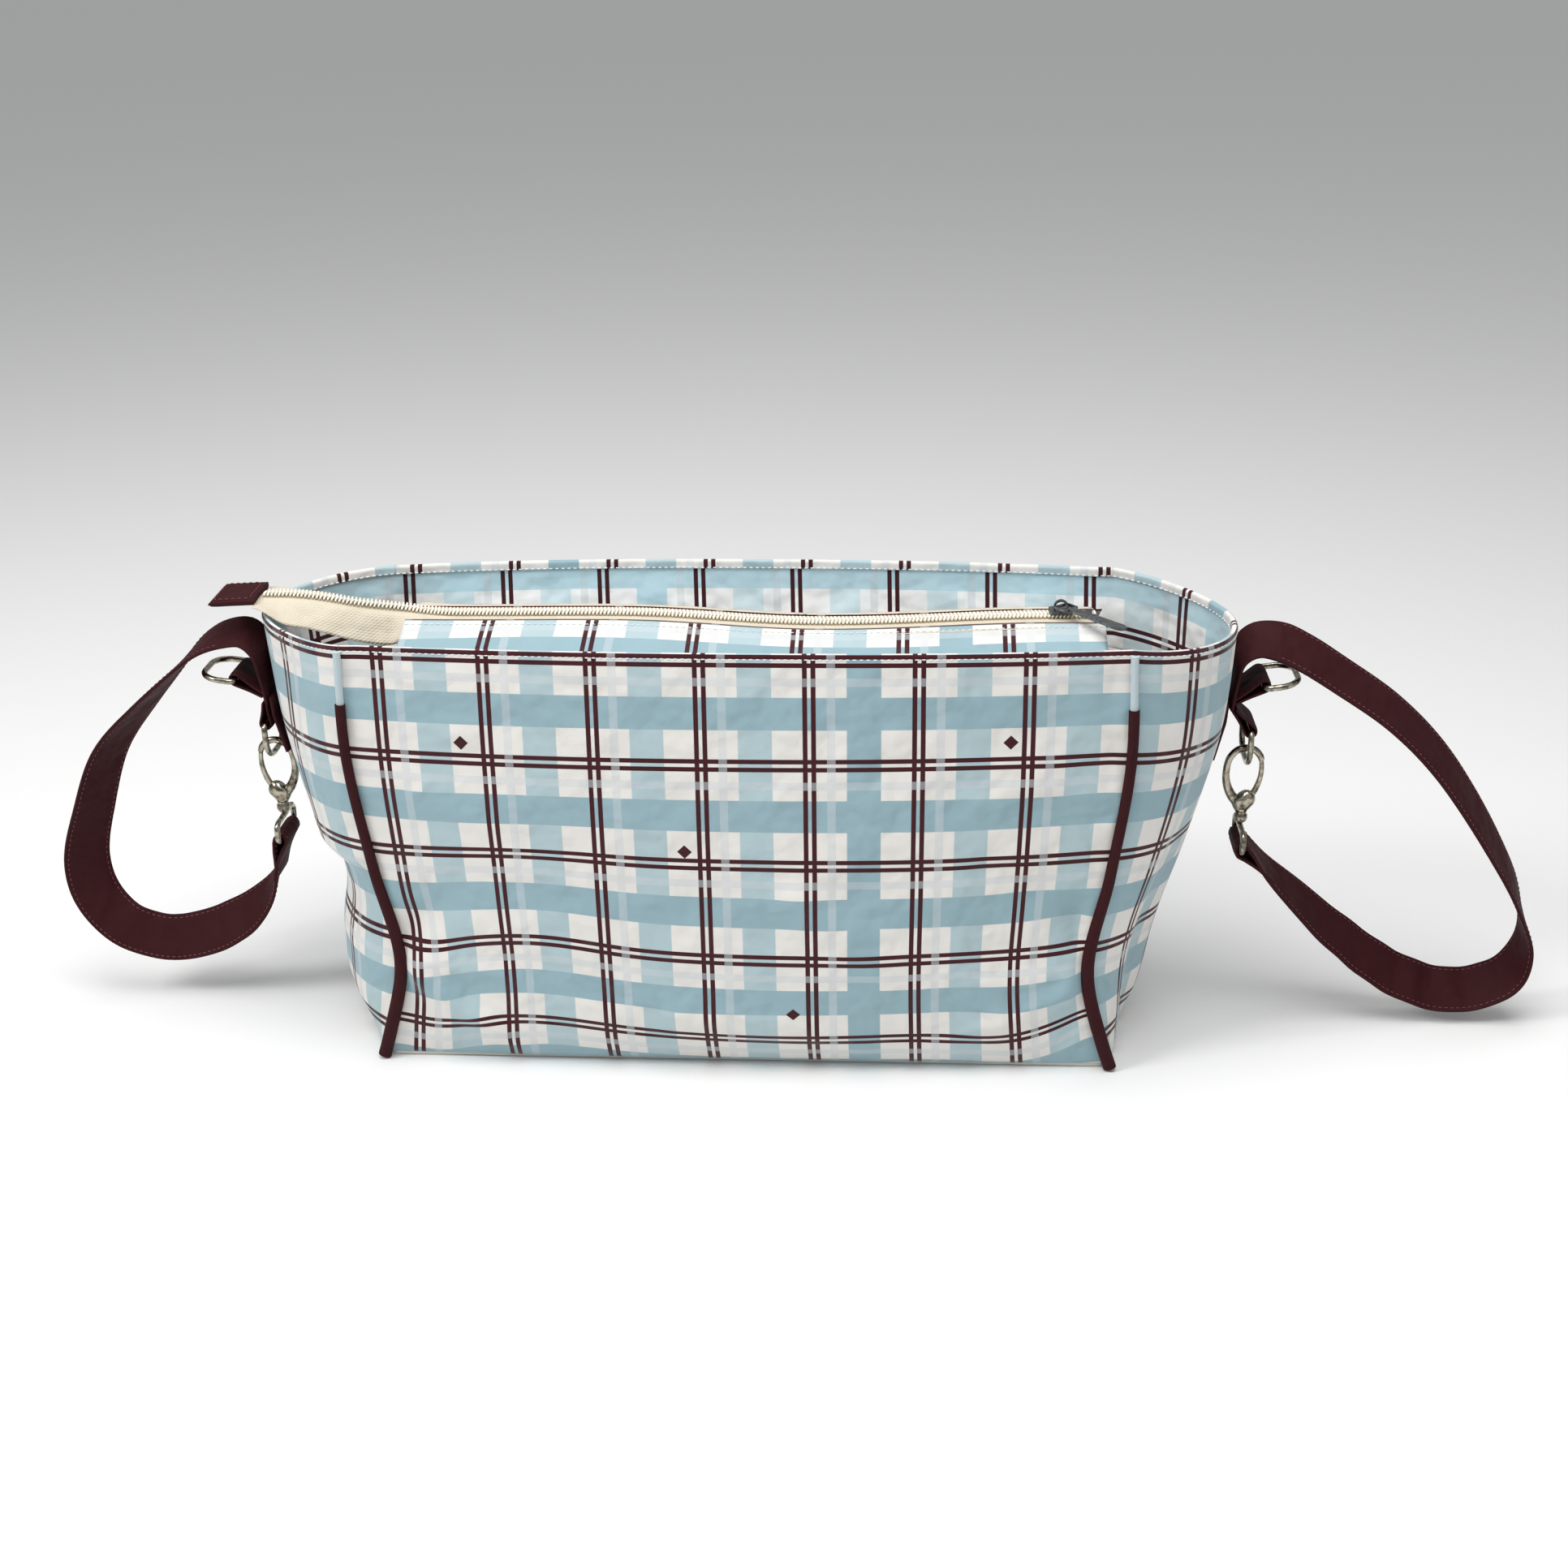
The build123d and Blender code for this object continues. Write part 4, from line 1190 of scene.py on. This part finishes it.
@dataclass
class StrapLoop:
    """One clip-on loop: webbing, ring tabs, rings and its swivel clasp."""

    side: str
    sign: int
    route: tuple
    clasp_out: float
    width: float = 25 * MM
    thick: float = 2.1 * MM
    edge_line: float = 0.84  # where the edge stitching runs, as a share of the half width
    bar_z: float = 99.5 * MM
    seam_z: float = 178.5 * MM
    lower_bar_z: float = 165 * MM
    upper_bar: tuple = (256 * MM, 189 * MM)

    def build(self) -> None:
        """Makes every piece of the loop."""
        self.webbing()
        self.anchor()
        self.tab("upper", self.upper_bar, (242.4 * MM, 180.5 * MM))
        self.tab("lower", (self.clasp_out, self.lower_bar_z), (242.4 * MM, 176.0 * MM))
        for part in ("upper_ring", "lower_ring", "swivel_ring", "gate_rivet"):
            dress_node(f"{self.side}_{part}", Finish.NICKEL)
        self.clasp()

    def place(self, out: Array, z: Array) -> Array:
        """Points in the loop's middle plane."""
        return np.stack([self.sign * out, np.zeros_like(out), z], -1)

    def ribbon_profile(self, count: int) -> Array:
        """A strap's section: flat faces, round edges and a dip along each edge stitch.

        The half thickness is a superellipse of the width, less two narrow dips.
        """
        x, y = superellipse(count, 1.0, 1.0, 0.35, 0.4).T
        dip = 1 - 0.3 * np.exp(-(((np.abs(x) - self.edge_line) / 0.05) ** 2))
        return np.stack([x * self.width / 2, y * dip * self.thick / 2], -1)

    def webbing(self) -> None:
        """The long strap, from its seam over the top, round and through the base ring."""
        bar = np.array([self.clasp_out / MM, self.bar_z / MM])
        last = np.array(self.route[-1][:2])
        along = (bar - last) / np.linalg.norm(bar - last)
        out = np.array([-along[1], along[0]])
        if out[0] < 0:
            out = -out
        # round the ring's bar, then folded back along the strap's inner side
        r = 3.1
        steps = ((-6, 0.8 * r), (0, r), (r, 0), (0, -r), (-5, -0.7 * r), (-14, -0.9), (-24, -1))
        tail = [(*(bar + along * a + out * b), 0) for a, b in steps]
        rows = np.array([*self.route, *tail], float)
        route = columns(rows[:, 0] * MM, 0.0, rows[:, 1] * MM, rows[:, 2])
        curve = smooth_curve(route, 1.8 * MM)
        path, roll = curve[:, :3] * np.array([self.sign, 1, 1]), np.radians(curve[:, 3])
        run = np.gradient(path, axis=0)
        run /= np.linalg.norm(run, axis=1, keepdims=True)
        outward = self.sign * np.cross(run, [0.0, 1.0, 0.0])
        base = np.array([0.0, 1.0, 0.0])
        across = np.cos(roll)[:, None] * base + np.sin(roll)[:, None] * outward
        up = np.cross(run, across)
        ripple = self.ripples(curve)
        path = path + up * ripple[:, None]
        profile = self.ribbon_profile(36)
        split = int(np.argmax(curve[:, 0] > 263 * MM))
        low = slice(0, split + 1)
        rise = tube(
            f"{self.side}_strap_rise", path[low], across[low], up[low], profile, Finish.BURGUNDY
        )
        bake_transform(rise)
        rest = (part[split:] for part in (path, across, up))
        main = tube(f"{self.side}_strap_webbing", *rest, profile, Finish.BURGUNDY)
        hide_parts(f"{self.side}_strap")
        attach(main, f"{self.side}_loop")
        sewn = slice(split, len(path) - 14)
        for edge, label in ((-self.edge_line, "front"), (self.edge_line, "back")):
            for face, way in ((1, "out"), (-1, "in")):
                line = path + across * edge * self.width / 2 + up * face * self.thick * 0.36
                name = f"{self.side}_strap_{label}_edge_stitching_{way}"
                thread = stitches(
                    name, line[sewn], face * up[sewn], Finish.RED_THREAD, 3 * MM, 0.7, 0.3 * MM
                )
                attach(thread, f"{self.side}_loop")

    def casting(self, name: str, rows: tuple, flat: float, body: str) -> Any:
        """A smooth cast part: an oval section carried through its stations.

        Args:
            name: the piece's name.
            rows: (out from the clasp's middle, height, radius) in mm.
            flat: the section's depth along Y as a share of its width.
            body: what it rides.
        """
        out, height, radius = (np.array(rows) * MM).T
        curve = smooth_curve(columns(self.clasp_out + out, 0.0, height, radius), 0.7 * MM)
        path = curve[:, :3] * np.array([self.sign, 1, 1])
        across, up = frames(path, np.array([0.0, 1.0, 0.0]))
        ring = round_profile(1.0, 16) * np.array([flat, 1.0])
        rings = ring[None] * curve[:, 3, None, None]
        piece = tube(f"{self.side}_{name}", path, across, up, rings, Finish.NICKEL)
        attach(piece, f"{self.side}_{body}")
        return piece

    def clasp(self) -> None:
        """The egg-shaped hook with its barrel and shoulder, and its sprung gate."""
        hook = self.casting("hook_bow", HOOK_BOW, 0.95, "hook_body")
        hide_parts(f"{self.side}_hook")
        self.casting("hook_shoulder", HOOK_SHOULDER, 0.62, "hook_body")
        self.casting("hook_barrel", HOOK_BARREL, 1.0, "hook_body")
        gate = self.casting("gate_arm", GATE_ARM, 0.9, "gate_body")
        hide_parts(f"{self.side}_gate")

    def ripples(self, curve: Array) -> Array:
        """Slight waves along the strap, which fade at both of its ends."""
        reach = np.linspace(0, 1, len(curve))
        fade = step(reach, 0.1, 0.3) * step(-reach, -0.95, -0.75)
        slow = 0.5 * np.sin(reach * 31 + (1 if self.sign > 0 else 2))
        low = step(-curve[:, 2], -70 * MM, -30 * MM)
        quick = 0.45 * low * np.sin(curve[:, 0] / (3.1 * MM))
        return (slow + quick) * MM * fade

    def tab(self, name: str, bar: tuple, seam: tuple) -> None:
        """A short strip folded round a ring's bar, with both ends in the seam.

        Args:
            name: which ring's.
            bar: distance out and height of the ring's bar.
            seam: the same of the seam.
        """
        bar, seam = np.array(bar), np.array(seam)
        along = (bar - seam) / np.linalg.norm(bar - seam)
        side = np.array([-along[1], along[0]])
        radius = 2.75 * MM
        spread = 0.95 * MM
        turn = np.linspace(math.pi / 2, -math.pi / 2, 9)
        loop = bar + radius * (np.cos(turn)[:, None] * along + np.sin(turn)[:, None] * side)
        waist, gap = seam + (bar - seam) * 0.45, side * spread
        leaves = [seam + gap], [waist + gap * 1.6], loop, [waist - gap * 1.6], [seam - gap]
        out, height = np.concatenate(leaves).T
        curve = smooth_curve(columns(out, 0.0, height), 0.9 * MM)
        path = curve * np.array([self.sign, 1, 1])
        across, up = frames(path, np.array([0.0, 1.0, 0.0]))
        flat = self.ribbon_profile(28) * np.array([0.98, 0.72])
        piece = tube(f"{self.side}_{name}_tab_cloth", path, across, up, flat, Finish.BURGUNDY)
        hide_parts(f"{self.side}_{name}_ring_tab")
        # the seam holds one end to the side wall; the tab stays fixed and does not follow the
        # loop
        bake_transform(piece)

    def wall(self, z: Array | float) -> Array:
        """How far out the side wall's middle is at a height, straight between three places."""
        return np.interp(z, [110 * MM, 170 * MM, 226 * MM], [223 * MM, 237 * MM, 241 * MM])

    def anchor(self) -> None:
        """The strap's sewn end on the side wall, with two rows of stitching."""
        low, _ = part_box(f"{self.side}_strap_anchor")
        z = np.linspace(low.z, self.seam_z + 1 * MM, 24)
        path = self.place(self.wall(z) + 1.1 * MM, z)
        across, up = frames(path, np.array([0.0, 1.0, 0.0]))
        profile = self.ribbon_profile(36)
        piece = tube(f"{self.side}_strap_sewn_end", path, across, up, profile, Finish.BURGUNDY)
        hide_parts(f"{self.side}_strap_anchor")
        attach(piece, "root")
        half = self.width / 2 - 2.2 * MM
        for label, level in (("low", low.z + 3 * MM), ("high", low.z + 22 * MM)):
            out = self.sign * (self.wall(level) + 2.1 * MM)
            row = columns(out, np.linspace(-half, half, 12), level)
            name = f"{self.side}_sewn_end_{label}_stitching"
            thread = stitches(name, row, np.array([float(self.sign), 0, 0]), Finish.RED_THREAD)
            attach(thread, "root")


# ---- studio -------------------------------------------------------------------------------


@dataclass(frozen=True)
class Studio:
    """Camera, floor and soft light."""

    eye: tuple = (0.0887, -0.9832, 0.5692)
    yaw: float = -4.04
    pitch: float = -24.05
    roll: float = -1.09
    lens: float = 48.45
    aim: tuple = (0, 0, 0.1)
    air: str = "#F4F5F6"
    air_strength: float = 0.42
    floor_half: float = 40.0
    floor_drop: float = 0.5 * MM

    def camera(self) -> None:
        """Sets the camera: it looks along +Y, then yaws, pitches and rolls."""
        yaw, pitch, roll = (math.radians(a) for a in (self.yaw, self.pitch, self.roll))
        forward = np.array(
            [math.sin(yaw) * math.cos(pitch), math.cos(yaw) * math.cos(pitch), math.sin(pitch)]
        )
        right = np.array([math.cos(yaw), -math.sin(yaw), 0.0])
        up = np.cross(right, forward)
        turned = math.cos(roll) * right + math.sin(roll) * up
        up = -math.sin(roll) * right + math.cos(roll) * up
        basis = np.stack([turned, up, -forward], 1)
        data = bpy.data.cameras.new("camera")
        data.lens = self.lens
        data.sensor_width = 36.0
        data.clip_start = 0.01
        eye = bpy.data.objects.new("camera", data)
        eye.matrix_world = Matrix.Translation(self.eye) @ Matrix(basis.tolist()).to_4x4()
        bpy.context.scene.collection.objects.link(eye)
        bpy.context.scene.camera = eye

    def light(self, name: str, place: tuple, size: float, power: float) -> None:
        """Adds a square area light that faces the bag's middle.

        Args:
            name: the light's name.
            place: where it hangs, in metres.
            size: its side in metres.
            power: its power in watts.
        """
        data = bpy.data.lights.new(name, "AREA")
        data.size = size
        data.energy = power
        lamp = bpy.data.objects.new(name, data)
        turned = (Vector(place) - Vector(self.aim)).to_track_quat("Z", "Y")
        lamp.matrix_world = Matrix.Translation(place) @ turned.to_matrix().to_4x4()
        bpy.context.scene.collection.objects.link(lamp)

    def build(self) -> None:
        """Makes the camera, lights, world and floor."""
        self.camera()
        self.light("key_light", (-1.25, -0.7, 1.35), 0.5, 13.5)
        self.light("fill_light", (1.1, -1.0, 1.1), 1.2, 1.2)
        self.light("top_light", (0.1, -0.25, 1.5), 1.1, 16.5)
        scene = bpy.context.scene
        scene.view_settings.view_transform = "Standard"
        world = bpy.data.worlds.new("studio_air")
        world.use_nodes = True
        background = world.node_tree.nodes["Background"]
        background.inputs[0].default_value = linear(self.air)
        background.inputs[1].default_value = self.air_strength
        scene.world = world
        far, down = self.floor_half, -self.floor_drop
        corners = [(-far, -far, down), (far, -far, down), (far, far, down), (-far, far, down)]
        mesh = bpy.data.meshes.new("studio_floor")
        mesh.from_pydata(corners, [], [[0, 1, 2, 3]])
        material, _, shader = new_material("matte_floor_paint")
        shader.inputs["Base Color"].default_value = linear("#F3F3F2")
        shader.inputs["Roughness"].default_value = 0.9
        mesh.materials.append(material)
        floor = bpy.data.objects.new("studio_floor", mesh)
        scene.collection.objects.link(floor)


def main() -> None:
    """Builds the bag round the loaded frame."""
    logging.basicConfig(level=logging.INFO)
    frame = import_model()
    LOG.info("loaded %d nodes", len(frame["nodes"]))
    Studio().build()
    form = BagForm()
    assemblies: list[Any] = [
        Shell(form),
        ZipTop(form),
        StrapLoop("right", 1, RIGHT_ROUTE, 251 * MM),
        StrapLoop("left", -1, LEFT_ROUTE, 243 * MM),
    ]
    for assembly in assemblies:
        assembly.build()
        LOG.info("built %s", type(assembly).__name__)
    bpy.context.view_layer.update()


if __name__ == "__main__":
    main()
